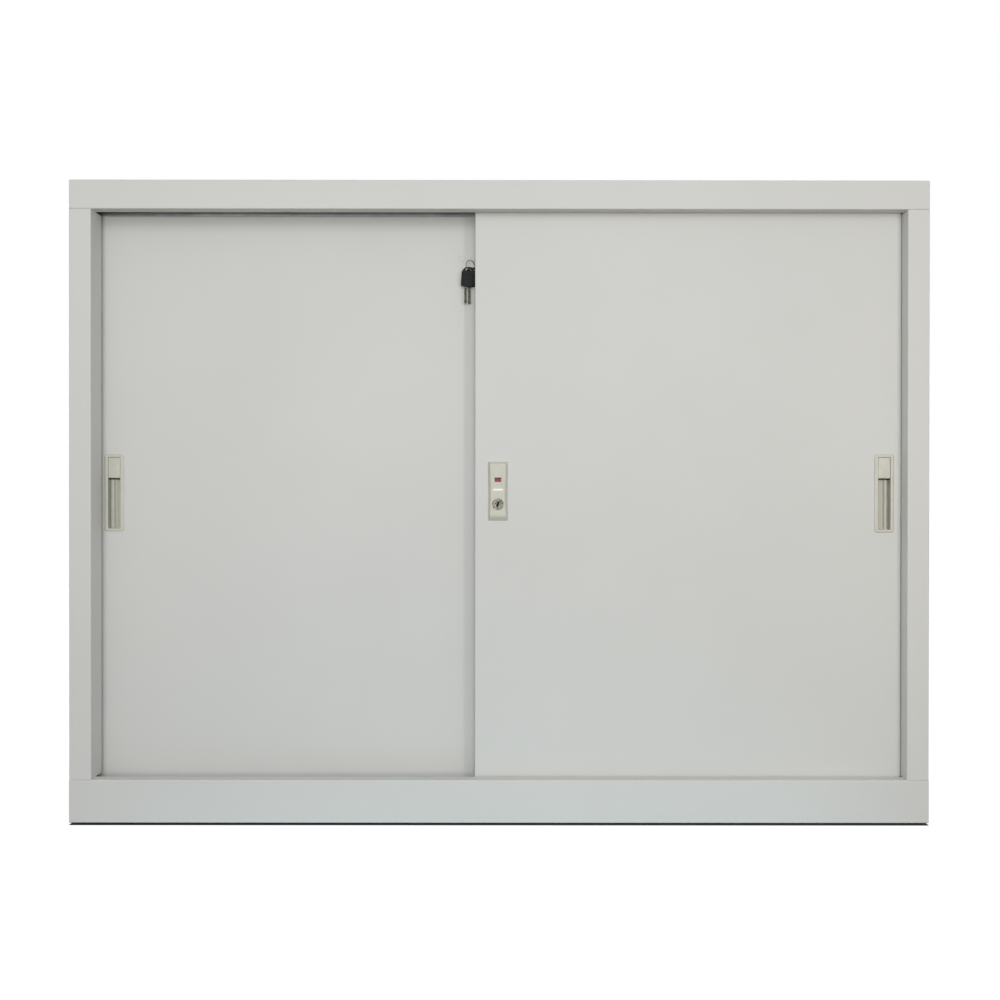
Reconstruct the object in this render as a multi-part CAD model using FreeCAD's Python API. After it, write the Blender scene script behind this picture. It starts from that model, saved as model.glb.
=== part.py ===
import FreeCAD, Part
import math
import os

from FreeCAD import Vector

# A free-standing steel cabinet with two sliding doors.
# Millimetres. X runs along the front, Y from the front to the back, Z up.
# The origin is on the floor under the middle of the cabinet.

# ---- carcass ----
WIDTH = 1180.0
DEPTH = 400.0
HEIGHT = 885.0
SHEET = 0.8  # steel sheet of the carcass, the shelves and the doors
BEND = 0.8  # inside radius of every fold
SEAM = 0.2  # gap at a seam between two sheets
PAST = 1.0  # cutting solids run this far past what they cut
NEAR = 0.1  # edges this close to a face belong to it
EDGE = 0.5  # rounding of small moulded and turned edges
FOOT_GAP = 3.0  # the carcass stands this high off the floor
RAIL_HEIGHT = 40.0  # front drop of the top panel
STILE_WIDTH = 30.0
SILL_HEIGHT = 59.0
LIP_CLEARANCE = 3.0  # rail and sill lips stop this far in front of the front door
LIP_TURN = 12.0  # turned edge behind each lip
JAMB_PAST_DOOR = 3.0  # the jamb runs this far behind the front door
JAMB_TURN = 14.0
BACK_TURN = 15.0
SILL_RETURN = 12.0
FLOOR_DROP = 2.0  # the cabinet floor lies this far under the sill
BACK_BEADS = 3
BEAD_WIDTH = 18.0
BEAD_DEPTH = 3.0

# ---- doors ----
DOOR_SETBACK = 22.0  # front door's face behind the cabinet's front
DOOR_THICKNESS = 15.0
DOOR_GAP = 11.0
DOOR_OVERLAP = 68.0  # the closed doors overlap this much in the middle
DOOR_EDGE_GAP = 0.5  # front door to jamb
REAR_TUCK = 9.0  # rear door runs this far behind its jamb
DOOR_TUCK_TOP = 12.0
DOOR_TUCK_BOTTOM = 11.0
DOOR_FLANGE = 10.0
HANDLE_STOP_GAP = 7.5  # the open rear door's handle stops this far beside the front door
HAT_WIDTH = 56.0
HAT_CROWN = 26.0
HAT_FLARE = 4.0

# ---- tracks, rollers and guides ----
TRACK_WALL = 1.2
RIDGE_GAP = 1.0
RIDGE_HEIGHT = 4.0
RIDGE_WIDTH = 1.8
RIDGE_ROUND = 0.85
TRACK_EDGE_GAP = 0.4
TRACK_SIDE_CLEARANCE = 1.8
GUIDE_CLEARANCE = 0.3
GUIDE_LENGTH = 34.0
GUIDE_HEIGHT = 10.0
GUIDE_STEM = 8.0
GUIDE_ROUND = 1.5
GUIDE_INSET = 70.0
WHEEL_RADIUS = 9.0  # running radius on the ridge
WHEEL_RIM = 2.0
WHEEL_WIDTH = 8.0
GROOVE_WIDTH = 3.0
RUN_CLEARANCE = 0.3
AXLE_RADIUS = 2.5
AXLE_FIT = 0.05
AXLE_HEAD = 0.6
AXLE_HEAD_RADIUS = 3.75
BRACKET_SHEET = 1.2
BRACKET_LENGTH = 44.0
BRACKET_HEAD = 4.0
WHEEL_INSET = 60.0
TRACK_SCREWS = 5
SCREW_HEAD = 3.6
SCREW_RADIUS = 1.6
SCREW_RISE = 2.0
SCREW_LENGTH = 4.4
SCREW_SLOT = 0.8

# ---- shelves ----
SHELVES = 2
SHELF_FRONT_GAP = 12.0
SHELF_BACK_GAP = 8.0
SHELF_EDGE = 25.0
SHELF_HEM = 12.0
SHELF_END_GAP = 1.5
UPRIGHT_WIDTH = 24.0
UPRIGHT_DEPTH = 8.0
UPRIGHT_INSET = 18.0
UPRIGHT_TOP_GAP = 40.0
SLOT_PITCH = 25.0
SLOT_WIDTH = 12.0
SLOT_HEIGHT = 4.0
CLIP_SHEET = 1.6
CLIP_TONGUE = 11.0
CLIP_LEG = 15.0
CLIP_WIDTH = 10.0

# ---- feet and braces ----
FOOT_RADIUS = 12.0
FOOT_INSET = 26.0
STEM_RADIUS = 4.0
STEM_HEIGHT = 20.0
COLLAR_RADIUS = 6.0
PLATE_SIZE = 46.0
PLATE_SHEET = 1.6
GUSSET_SHEET = 1.2
GUSSET_LENGTH = 60.0
GUSSET_RISE = 28.0
BRACE_WIDTH = 50.0
BRACE_HEIGHT = 28.0
STOP_LENGTH = 12.0
REAR_STOP_HEIGHT = 14.0
FRONT_STOP_HEIGHT = 8.0  # stays under the sill's lip, out of sight
STOP_WIDTH = 12.0

# ---- recessed handles ----
HANDLE_WIDTH = 27.5
HANDLE_HEIGHT = 109.0
HANDLE_RISE = 2.0  # middle of the handle above the middle of the door
HANDLE_INSET = 10.0  # handle flange from the door's outer edge
HANDLE_RIM = 1.6
HANDLE_CORNER = 3.5
CUP_WIDTH = 17.4
CUP_HEIGHT = 100.6
CUP_DEPTH = 9.0
CUP_WALL = 1.4
CUP_FIT = 0.2
GRIP_GROOVE = 4.5
GRIP_RIB = 4.8
GRIP_RIB_DEPTH = 4.8
GRIP_SHELF_DEPTH = 7.4
GRIP_DRAFT = 0.6
GRIP_ROUND = 1.0
COVER_HEIGHT = 30.8
COVER_SINK = 0.8
COVER_WALL = 1.2
COVER_FIT = 0.15
CUP_SCREW_RADIUS = 1.5
CUP_SCREW_HEAD = 3.2
CUP_NUT_SIZE = 9.0
CUP_NUT_SHEET = 1.2

# ---- lock ----
LOCK_INSET = 32.0  # middle of the lock from the front door's inner edge
LOCK_ABOVE_HANDLES = 2.6
LOCK_WIDTH = 27.4
LOCK_HEIGHT = 82.0
LOCK_RISE = 5.5
LOCK_BEVEL_SIDE = 3.0
LOCK_BEVEL_TOP = 3.4
LOCK_BEVEL_BOTTOM = 5.6
LOCK_BODY_WIDTH = 22.0
LOCK_BODY_HEIGHT = 72.0
LOCK_WALL = 1.5
LOCK_ROUND = 0.6
LOCK_CORNER = 1.0
LOCK_BACK = 2.2  # the housing's back wall stops this far inside the door
FIELD_WIDTH = 13.2
FIELD_HEIGHT = 36.2
FIELD_DEPTH = 1.8  # the field sinks evenly from its top to its ledge
FIELD_RISE = 18.1  # middle of the sunk field above the middle of the lock
FIELD_LEDGE = 3.8  # height of the ledge that slopes back out to the front
WINDOW_WIDTH = 9.3
WINDOW_HEIGHT = 6.3
WINDOW_RISE = 15.9
WINDOW_SHEET = 0.8
CYLINDER_DROP = 18.0
CYLINDER_RADIUS = 8.0
CYLINDER_PROUD = 1.6
CYLINDER_LENGTH = 15.0
PLUG_RADIUS = 5.5
PLUG_FIT = 0.05
PLUG_PROUD = 0.4
KEYWAY_WIDTH = 2.2
KEYWAY_HEIGHT = 7.6
KEYWAY_DEPTH = 12.0
TAIL_RADIUS = 2.0
CRANK_RADIUS = 4.45
CRANK_PIN = 0.9
CRANK_FIT = 0.3
FORK_SHEET = 1.4
FORK_BAR = 1.2
FLAG_SHEET = 1.2
FLAG_FIT = 0.3
FLAG_HEIGHT = 17.0
CAM_GAP = 1.0
CAM_SHEET = 2.0
CAM_REACH = 18.5
CAM_HUB = 6.0
STUD_ORBIT = 11.7
STUD_RADIUS = 2.5
STUD_CLEARANCE = 0.6
CAM_MOUTH = 35.0  # degrees
CAM_END = 118.0  # degrees
CAM_TURN = 90.0  # degrees
NUT_RADIUS = 4.0
NUT_HEIGHT = 2.4
STRIKER_WIDTH = 18.0
STRIKER_HEIGHT = 30.0
STRIKER_SHEET = 1.2
STRIKER_CORNER = 3.0
STRIKER_TIP_GAP = 1.5

# ---- keys, taped to the rear door ----
RING_BESIDE = 7.35  # middle of the ring beside the front door's inner edge
RING_DROP = 67.7  # middle of the ring under the rail
RING_RADIUS = 7.4
RING_WIRE = 0.5
RING_TURN = 40.0  # degrees
KEY_SHEET = 2.6
KEY_GAP = 0.3
KEY_OFFSET = 2.75
HEAD_WIDTH = 22.0
HEAD_HEIGHT = 27.6
HEAD_CHAMFER = 5.0
HEAD_TAPER = 2.0  # each side of the head leans in this much up to the shoulder
HEAD_CORNER = 1.0
HEAD_ROUND = 0.35
HEAD_TOP_WALL = 1.6
EYE_WIDTH = 7.4
EYE_HEIGHT = 3.8
EYE_RISE = 1.1
BLADE_ASIDE = 4.0  # the blade's middle beside the middle of its head
BLADE_WIDTH = 4.4
BLADE_LENGTH = 23.6
BLADE_SHEET = 1.9
TANG_LENGTH = 12.0
TANG_WIDTH = 3.8
BLADE_CUTS = 4
CUT_DEPTH = 0.7
CUT_DEPTHS = 3  # different depths of cut along a blade
TAPE_SHEET = 0.2
TAPE_LENGTH = 34.0
TAPE_WIDTH = 9.0
TAPE_FIT = 0.3
TAPE_SLOPE = 3.2
TAPE_REST = 0.75  # the tape starts at this share of the ring's radius above its middle

# ---- places worked out from the sizes above ----
FRONT = -DEPTH / 2
BACK = DEPTH / 2
SIDE = WIDTH / 2
SIDE_IN = SIDE - SHEET
JAMB = SIDE - STILE_WIDTH
RAIL_Z = HEIGHT - RAIL_HEIGHT
SILL_Z = FOOT_GAP + SILL_HEIGHT
LIP_Y = FRONT + DOOR_SETBACK - LIP_CLEARANCE
FACE_1 = FRONT + DOOR_SETBACK
BACK_1 = FACE_1 + DOOR_THICKNESS
FACE_2 = BACK_1 + DOOR_GAP
BACK_2 = FACE_2 + DOOR_THICKNESS
MIDDLE_1 = (FACE_1 + BACK_1) / 2
MIDDLE_2 = (FACE_2 + BACK_2) / 2
BETWEEN = (BACK_1 + FACE_2) / 2
JAMB_Y = BACK_1 + JAMB_PAST_DOOR
DOOR_TOP = RAIL_Z + DOOR_TUCK_TOP
DOOR_BOTTOM = SILL_Z - DOOR_TUCK_BOTTOM
RIDGE_Z = DOOR_BOTTOM - RIDGE_GAP
TRACK_Z = RIDGE_Z - RIDGE_HEIGHT
PAN_Z = TRACK_Z - TRACK_WALL
FLOOR_Z = SILL_Z - FLOOR_DROP
TRACK_BACK = BACK_2 + TRACK_SIDE_CLEARANCE + TRACK_WALL
RISER_Y = TRACK_BACK + BEND + SHEET
BACK_PANEL_Y = BACK - 2 * SHEET
RIGHT_EDGE = JAMB - DOOR_EDGE_GAP
LEFT_EDGE = -JAMB - REAR_TUCK
INNER_EDGE = DOOR_OVERLAP / 2
REAR_TRAVEL = -INNER_EDGE - HANDLE_STOP_GAP - (LEFT_EDGE + HANDLE_INSET + HANDLE_WIDTH)
WHEEL_Z = RIDGE_Z + WHEEL_RADIUS
HANDLE_Z = (DOOR_TOP + DOOR_BOTTOM) / 2 + HANDLE_RISE
LOCK_X = LOCK_INSET - INNER_EDGE
LOCK_Z = HANDLE_Z + LOCK_ABOVE_HANDLES
CYLINDER_Z = LOCK_Z - CYLINDER_DROP
SHELF_FRONT = RISER_Y + SHELF_FRONT_GAP
SHELF_BACK = BACK_PANEL_Y - SHELF_BACK_GAP
RING_X = -INNER_EDGE - RING_BESIDE
RING_Z = RAIL_Z - RING_DROP


def box(x, y, z):
    """Block between two values on each axis."""
    block = Part.makeBox(x[1] - x[0], y[1] - y[0], z[1] - z[0])
    block.translate(Vector(x[0], y[0], z[0]))
    return block


def rod(centre, radius, start, stop, axis="y"):
    """Round bar along an axis; centre is its place on the other two axes."""
    base = space(axis, centre[0], centre[1], start)
    return Part.makeCylinder(radius, stop - start, base, space(axis, 0, 0, 1))


def space(axis, a, b, along):
    """Point from two coordinates across an axis and one along it."""
    return {
        "x": Vector(along, a, b),
        "y": Vector(a, along, b),
        "z": Vector(a, b, along),
    }[axis]


def prism(corners, axis, start, stop):
    """Solid whose outline has corners (a, b, radius), carried along an axis."""
    edges = []
    ends = []
    count = len(corners)
    for i, (a, b, radius) in enumerate(corners):
        here = Vector(a, b, 0)
        before = (Vector(*corners[i - 1][:2], 0) - here).normalize()
        after = (Vector(*corners[(i + 1) % count][:2], 0) - here).normalize()
        half = before.getAngle(after) / 2
        if radius > 0:
            reach = radius / math.tan(half)
            bisector = (before + after).normalize()
            middle = here + bisector * (radius / math.sin(half) - radius)
            ends.append((here + before * reach, middle, here + after * reach))
        else:
            ends.append((here, None, here))
    for i, (first, middle, last) in enumerate(ends):
        if middle is not None:
            points = [space(axis, p.x, p.y, start) for p in (first, middle, last)]
            edges.append(Part.Arc(*points).toShape())
        following = ends[(i + 1) % count][0]
        if last.distanceToPoint(following) > 1e-7:
            line = (space(axis, last.x, last.y, start), space(axis, following.x, following.y, start))
            edges.append(Part.LineSegment(*line).toShape())
    face = Part.Face(Part.Wire(edges))
    return face.extrude(space(axis, 0, 0, stop - start))


def folded(path, side, axis, start, stop, sheet=SHEET):
    """Folded strip. One face follows the path; the other lies one sheet to its left (1) or right (-1)."""
    points = [Vector(a, b, 0) for a, b in path]
    runs = [(q - p).normalize() for p, q in zip(points, points[1:])]
    normals = [Vector(-d.y, d.x, 0) * side for d in runs]
    near = [(points[0].x, points[0].y, 0)]
    far = [tuple(points[0] + normals[0] * sheet)[:2] + (0,)]
    for i in range(1, len(points) - 1):
        n, m = normals[i - 1], normals[i]
        other = points[i] + (n + m) * (sheet / (1 + n.dot(m)))
        inward = n.dot(runs[i]) > 0
        near.append((points[i].x, points[i].y, BEND + sheet if inward else BEND))
        far.append((other.x, other.y, BEND if inward else BEND + sheet))
    near.append((points[-1].x, points[-1].y, 0))
    far.append(tuple(points[-1] + normals[-1] * sheet)[:2] + (0,))
    return prism(near + far[::-1], axis, start, stop)


def rounded(shape, radius, wanted):
    """Fillet every edge whose bounding box passes a test."""
    edges = [e for e in shape.Edges if wanted(e.BoundBox)]
    return shape.makeFillet(radius, edges)


def plate(centre, size, corner, start, stop):
    """Upright plate with rounded corners, thick along Y."""
    a, b = size[0] / 2, size[1] / 2
    signs = ((-1, -1), (1, -1), (1, 1), (-1, 1))
    corners = [(centre[0] + a * s, centre[1] + b * t, corner) for s, t in signs]
    return prism(corners, "y", start, stop)


def sector(centre, radii, angles, start, stop):
    """Part of a ring across Y, between two radii and two angles in degrees."""

    def at(radius, angle):
        turn = math.radians(angle)
        return Vector(centre[0] + radius * math.cos(turn), start, centre[1] + radius * math.sin(turn))

    middle = sum(angles) / 2
    inner, outer = radii
    low, high = angles
    edges = [
        Part.Arc(at(outer, low), at(outer, middle), at(outer, high)).toShape(),
        Part.LineSegment(at(outer, high), at(inner, high)).toShape(),
        Part.Arc(at(inner, high), at(inner, middle), at(inner, low)).toShape(),
        Part.LineSegment(at(inner, low), at(outer, low)).toShape(),
    ]
    return Part.Face(Part.Wire(edges)).extrude(Vector(0, stop - start, 0))


def mirrored(shape):
    """The same shape on the other side of the cabinet's middle."""
    return shape.mirror(Vector(0, 0, 0), Vector(1, 0, 0))


def both_sides(shape):
    """A shape and its mirror image."""
    return [shape, mirrored(shape)]


def save(name, *shapes):
    """Write one node: a solid, or a group of separate solids."""
    solids = [s for shape in shapes for s in shape.Solids]
    shape = solids[0] if len(solids) == 1 else Part.makeCompound(solids)
    shape.exportStep("parts/" + name + ".step")


# ---- carcass ----
def side_panel():
    """Right side: back turn, side, stile and box-shaped jamb folded from one sheet."""
    top = RAIL_Z - SEAM
    path = [
        (SIDE - BACK_TURN, BACK),
        (SIDE, BACK),
        (SIDE, FRONT),
        (JAMB, FRONT),
        (JAMB, JAMB_Y),
        (JAMB + JAMB_TURN, JAMB_Y),
    ]
    panel = folded(path, -1, "z", FOOT_GAP, top)
    sill_room = (FOOT_GAP, SILL_Z + SEAM)
    notch = box((JAMB - SHEET, SIDE + SHEET), (FRONT - SHEET, FRONT + SHEET + SEAM), sill_room)
    corner = box((JAMB - SHEET, SIDE_IN), (FRONT - SHEET, JAMB_Y + SHEET), sill_room)
    return panel.cut(notch.fuse(corner))


def top_panel():
    """Top with a drop on all four sides, and the rail lip with its turned edge along the front."""
    outside = BEND + SHEET
    shell = box((-SIDE, SIDE), (FRONT, BACK), (RAIL_Z, HEIGHT))
    shell = rounded(shell, outside, lambda b: b.ZMin > RAIL_Z + PAST or b.ZLength > PAST)
    hollow = box((-SIDE_IN, SIDE_IN), (FRONT + SHEET, BACK - SHEET), (RAIL_Z - SHEET, HEIGHT - SHEET))
    hollow = rounded(hollow, BEND, lambda b: b.ZMin > RAIL_Z + PAST or b.ZLength > PAST)
    shell = shell.cut(hollow)
    lip = [
        (FRONT, RAIL_Z + LIP_TURN),
        (FRONT, RAIL_Z),
        (LIP_Y, RAIL_Z),
        (LIP_Y, RAIL_Z + LIP_TURN),
    ]
    front_corner = box((-SIDE, SIDE), (FRONT, FRONT + outside), (RAIL_Z, RAIL_Z + outside))
    return shell.cut(front_corner).fuse(folded(lip, 1, "x", -SIDE_IN, SIDE_IN)).removeSplitter()


def sill_rail():
    """Bottom front: return, upright face, sill lip and turned edge folded from one sheet."""
    path = [
        (FRONT + SILL_RETURN, FOOT_GAP),
        (FRONT, FOOT_GAP),
        (FRONT, SILL_Z),
        (LIP_Y, SILL_Z),
        (LIP_Y, SILL_Z - LIP_TURN),
    ]
    rail = folded(path, -1, "x", -SIDE, SIDE)
    behind = box((SIDE_IN - SEAM, SIDE + SHEET), (FRONT + SHEET, LIP_Y + SHEET), (0, HEIGHT))
    return rail.cut(behind.fuse(mirrored(behind)))


def floor_panel():
    """Cabinet floor, stepped down in front to carry the lower track."""
    path = [
        (LIP_Y, SILL_Z - LIP_TURN / 2),
        (LIP_Y, PAN_Z - SHEET),
        (RISER_Y, PAN_Z - SHEET),
        (RISER_Y, FLOOR_Z - SHEET),
        (BACK_PANEL_Y - BEAD_DEPTH, FLOOR_Z - SHEET),
    ]
    panel = folded(path, 1, "x", -SIDE_IN, SIDE_IN)
    return panel.cut(Part.makeCompound([screw_hole(x) for x in screw_places()]))


def back_panel():
    """Back sheet with upright stiffening beads, inside the turned edges of the sides and top."""
    edge = SIDE_IN - BEND
    path = [(-edge, BACK_PANEL_Y + SHEET)]
    for i in range(BACK_BEADS):
        x = -edge + 2 * edge * (i + 1) / (BACK_BEADS + 1)
        half = BEAD_WIDTH / 2
        path += [
            (x - half, BACK_PANEL_Y + SHEET),
            (x - half + BEAD_DEPTH, BACK_PANEL_Y + SHEET - BEAD_DEPTH),
            (x + half - BEAD_DEPTH, BACK_PANEL_Y + SHEET - BEAD_DEPTH),
            (x + half, BACK_PANEL_Y + SHEET),
        ]
    path.append((edge, BACK_PANEL_Y + SHEET))
    return folded(path, -1, "z", FOOT_GAP, HEIGHT - SHEET - BEND)


def rear_rail():
    """Channel along the bottom of the back, under the floor."""
    path = [
        (BACK_PANEL_Y - BEAD_DEPTH - SILL_RETURN, FOOT_GAP),
        (BACK_PANEL_Y - BEAD_DEPTH, FOOT_GAP),
        (BACK_PANEL_Y - BEAD_DEPTH, FLOOR_Z - SHEET),
        (BACK_PANEL_Y - BEAD_DEPTH - SILL_RETURN, FLOOR_Z - SHEET),
    ]
    return folded(path, 1, "x", -SIDE_IN, SIDE_IN)


def floor_brace():
    """Hat channel under the middle of the floor."""
    half = BRACE_WIDTH / 2
    foot = half + BRACE_WIDTH / 4
    low = FLOOR_Z - SHEET - BRACE_HEIGHT
    high = FLOOR_Z - SHEET
    path = [(-foot, high), (-half, high), (-half, low), (half, low), (half, high), (foot, high)]
    return folded(path, -1, "y", RISER_Y + BEND + SHEET, BACK_PANEL_Y - BEAD_DEPTH - SILL_RETURN - SEAM)


def gussets():
    """Welded plates that join the sides to the top at the four upper corners."""
    height = (RAIL_Z - GUSSET_RISE, RAIL_Z + GUSSET_RISE)
    across = (SIDE_IN - GUSSET_SHEET, SIDE_IN)
    front = box(across, (TRACK_BACK, TRACK_BACK + GUSSET_LENGTH), height)
    rear_end = BACK_PANEL_Y - BEND
    rear = box(across, (rear_end - GUSSET_LENGTH, rear_end), height)
    return both_sides(front) + both_sides(rear)


def foot_places():
    """Middle of each foot."""
    y = (FRONT + FOOT_INSET, BACK - FOOT_INSET)
    return [(side * (SIDE - FOOT_INSET), v) for side in (-1, 1) for v in y]


def foot_plates():
    """Welded corner plates that carry the feet."""
    low = FOOT_GAP + SHEET
    x = (SIDE_IN - PLATE_SIZE, SIDE_IN)
    front_end = FRONT + SHEET + BEND
    front = box(x, (front_end, front_end + PLATE_SIZE), (low, low + PLATE_SHEET))
    rear_end = BACK_PANEL_Y - BEAD_DEPTH - SHEET - BEND
    rear = box(x, (rear_end - PLATE_SIZE, rear_end), (low, low + PLATE_SHEET))
    holes = [rod(p, STEM_RADIUS, 0, HEIGHT / 2, "z") for p in foot_places()]
    return [p.cut(Part.makeCompound(holes)) for p in both_sides(front) + both_sides(rear)]


def feet():
    """Nylon-faced screw feet."""
    solids = []
    for place in foot_places():
        pad = rod(place, FOOT_RADIUS, 0, FOOT_GAP, "z")
        pad = rounded(pad, FOOT_GAP / 4, lambda b: b.ZMax < 0.1)
        collar = rod(place, COLLAR_RADIUS, FOOT_GAP, FOOT_GAP + SHEET, "z")
        stem = rod(place, STEM_RADIUS, FOOT_GAP, STEM_HEIGHT, "z")
        solids.append(pad.fuse(collar).fuse(stem).removeSplitter())
    return solids


# ---- tracks ----
def screw_places():
    """Track screws, evenly spaced along the cabinet."""
    step = 2 * SIDE_IN / TRACK_SCREWS
    return [-SIDE_IN + step * (i + 0.5) for i in range(TRACK_SCREWS)]


def screw_hole(x):
    """Clearance for one track screw."""
    return rod((x, BETWEEN), SCREW_RADIUS, TRACK_Z - SCREW_LENGTH, TRACK_Z + PAST, "z")


def track_screws():
    """Pan-head screws through the lower track and the floor."""
    solids = []
    for x in screw_places():
        head = rod((x, BETWEEN), SCREW_HEAD, TRACK_Z, TRACK_Z + SCREW_RISE, "z")
        head = rounded(head, SCREW_RISE / 2, lambda b: b.ZMin > TRACK_Z + SCREW_RISE / 2)
        shank = rod((x, BETWEEN), SCREW_RADIUS, TRACK_Z - SCREW_LENGTH, TRACK_Z, "z")
        slot_z = (TRACK_Z + SCREW_RISE / 2, TRACK_Z + SCREW_RISE + PAST)
        slot = box(spread(x, 2 * SCREW_HEAD), spread(BETWEEN, SCREW_SLOT), slot_z)
        solids.append(head.cut(slot).fuse(shank))
    return solids


def lower_track():
    """Aluminium strip with a ridge under each door."""
    strip = box((-SIDE_IN, SIDE_IN), (LIP_Y + SHEET + BEND, TRACK_BACK), (PAN_Z, TRACK_Z))
    half = RIDGE_WIDTH / 2
    for y in (MIDDLE_1, MIDDLE_2):
        corners = [
            (y - half, TRACK_Z - TRACK_WALL / 2, 0),
            (y + half, TRACK_Z - TRACK_WALL / 2, 0),
            (y + half, RIDGE_Z, RIDGE_ROUND),
            (y - half, RIDGE_Z, RIDGE_ROUND),
        ]
        strip = strip.fuse(prism(corners, "x", -SIDE_IN, SIDE_IN))
    strip = strip.removeSplitter()
    return strip.cut(Part.makeCompound([screw_hole(x) for x in screw_places()]))


def track_walls():
    """Front faces of the three upper track walls."""
    return (
        LIP_Y,
        BETWEEN - TRACK_WALL / 2,
        BACK_2 + TRACK_SIDE_CLEARANCE,
    )


def upper_track():
    """Aluminium double channel under the top panel."""
    top = HEIGHT - SHEET
    length = (-SIDE_IN + BEND, SIDE_IN - BEND)
    walls = track_walls()
    track = box(length, (walls[0], walls[2] + TRACK_WALL), (top - TRACK_WALL, top))
    for y in walls:
        track = track.fuse(box(length, (y, y + TRACK_WALL), (RAIL_Z + SHEET + TRACK_EDGE_GAP, top)))
    return track.removeSplitter()


def stop(x, side, middle, height):
    """Block astride a ridge, just past a door's edge at x, on one side of it."""
    near = x + side * RUN_CLEARANCE
    span = sorted((near, near + side * STOP_LENGTH))
    block = box(span, spread(middle, STOP_WIDTH), (TRACK_Z, RIDGE_Z + height))
    block = rounded(block, EDGE, lambda b: b.ZMin > RIDGE_Z + PAST)
    return block.cut(box((-SIDE, SIDE), spread(middle, RIDGE_WIDTH), (0, RIDGE_Z)))


def track_stops():
    """Rubber blocks on the lower track that end the travel of each door both ways."""
    rear = [
        stop(LEFT_EDGE, -1, MIDDLE_2, REAR_STOP_HEIGHT),
        stop(INNER_EDGE + REAR_TRAVEL, 1, MIDDLE_2, REAR_STOP_HEIGHT),
    ]
    front = [stop(side * RIGHT_EDGE, side, MIDDLE_1, FRONT_STOP_HEIGHT) for side in (-1, 1)]
    return rear + front


# ---- shelves ----
def upright(y):
    """Slotted strip on the right side that carries the shelf clips."""
    low = FLOOR_Z
    high = RAIL_Z - UPRIGHT_TOP_GAP
    inner = SIDE_IN - UPRIGHT_DEPTH
    path = [(SIDE_IN, y), (inner, y), (inner, y + UPRIGHT_WIDTH), (SIDE_IN, y + UPRIGHT_WIDTH)]
    strip = folded(path, -1, "z", low, high)
    middle = y + UPRIGHT_WIDTH / 2
    count = int((high - low) / SLOT_PITCH)
    slots = []
    for i in range(1, count):
        z = low + i * SLOT_PITCH
        across = (middle - SLOT_WIDTH / 2, middle + SLOT_WIDTH / 2)
        slots.append(box((inner - PAST, inner + 2 * SHEET), across, (z, z + SLOT_HEIGHT)))
    return strip.cut(Part.makeCompound(slots))


def upright_places():
    """Front edge of the front and the rear upright."""
    return (SHELF_FRONT + UPRIGHT_INSET, SHELF_BACK - UPRIGHT_INSET - UPRIGHT_WIDTH)


def shelf_slots():
    """Slot number under each shelf, counted from the floor."""
    count = int((RAIL_Z - UPRIGHT_TOP_GAP - FLOOR_Z) / SLOT_PITCH)
    return [round(count * (i + 1) / (SHELVES + 1)) for i in range(SHELVES)]


def shelf_top(slot):
    """Height of a shelf that stands on clips in a slot."""
    return FLOOR_Z + slot * SLOT_PITCH + CLIP_SHEET + SHELF_EDGE


def shelf(slot):
    """Shelf folded down on all sides, with a hem along the front and the back."""
    top = shelf_top(slot)
    low = top - SHELF_EDGE
    path = [
        (SHELF_FRONT + SHELF_HEM, low),
        (SHELF_FRONT, low),
        (SHELF_FRONT, top),
        (SHELF_BACK, top),
        (SHELF_BACK, low),
        (SHELF_BACK - SHELF_HEM, low),
    ]
    end = SIDE_IN - UPRIGHT_DEPTH - SHELF_END_GAP
    body = folded(path, -1, "x", -end, end)
    depth = (SHELF_FRONT + SHEET, SHELF_BACK - SHEET)
    cap = box((end - SHEET, end), depth, (low + SHEET, top - SHEET / 2))
    return body.fuse(cap).fuse(mirrored(cap)).removeSplitter()


def clips(slot):
    """Four bent clips: a leg on the upright, a hook in its slot and a tongue under the shelf."""
    top = FLOOR_Z + slot * SLOT_PITCH + CLIP_SHEET
    inner = SIDE_IN - UPRIGHT_DEPTH
    path = [
        (inner - CLIP_TONGUE, top),
        (inner, top),
        (inner, top - CLIP_LEG),
    ]
    solids = []
    for y in upright_places():
        middle = y + UPRIGHT_WIDTH / 2
        across = (middle - CLIP_WIDTH / 2, middle + CLIP_WIDTH / 2)
        body = folded(path, -1, "y", *across, sheet=CLIP_SHEET)
        hook_z = FLOOR_Z + (slot - 1) * SLOT_PITCH
        leg = box((inner - CLIP_SHEET, inner), across, (hook_z, top - CLIP_LEG / 2))
        hook_height = (hook_z + SEAM, hook_z + SLOT_HEIGHT - SEAM)
        hook = box((inner - CLIP_SHEET, inner + 2 * SHEET), across, hook_height)
        solids += both_sides(body.fuse(leg).fuse(hook).removeSplitter())
    return solids


# ---- doors ----
def door_panel(left, right, face, cuts):
    """Shallow pan folded round all four edges, open at the back."""
    back = face + DOOR_THICKNESS
    outside = BEND + SHEET
    shell = box((left, right), (face, back), (DOOR_BOTTOM, DOOR_TOP))
    shell = rounded(shell, outside, lambda b: b.YMax < face + NEAR or b.YLength > PAST)
    inner_x = (left + SHEET, right - SHEET)
    inner_z = (DOOR_BOTTOM + SHEET, DOOR_TOP - SHEET)
    hollow = box(inner_x, (face + SHEET, back - SHEET), inner_z)
    hollow = rounded(hollow, BEND, lambda b: b.YMax < face + SHEET + NEAR or b.YLength > PAST)
    open_x = (left + DOOR_FLANGE, right - DOOR_FLANGE)
    open_z = (DOOR_BOTTOM + DOOR_FLANGE, DOOR_TOP - DOOR_FLANGE)
    shell = shell.cut(hollow).cut(box(open_x, (face + SHEET, back + PAST), open_z))
    return shell.cut(Part.makeCompound(cuts))


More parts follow.
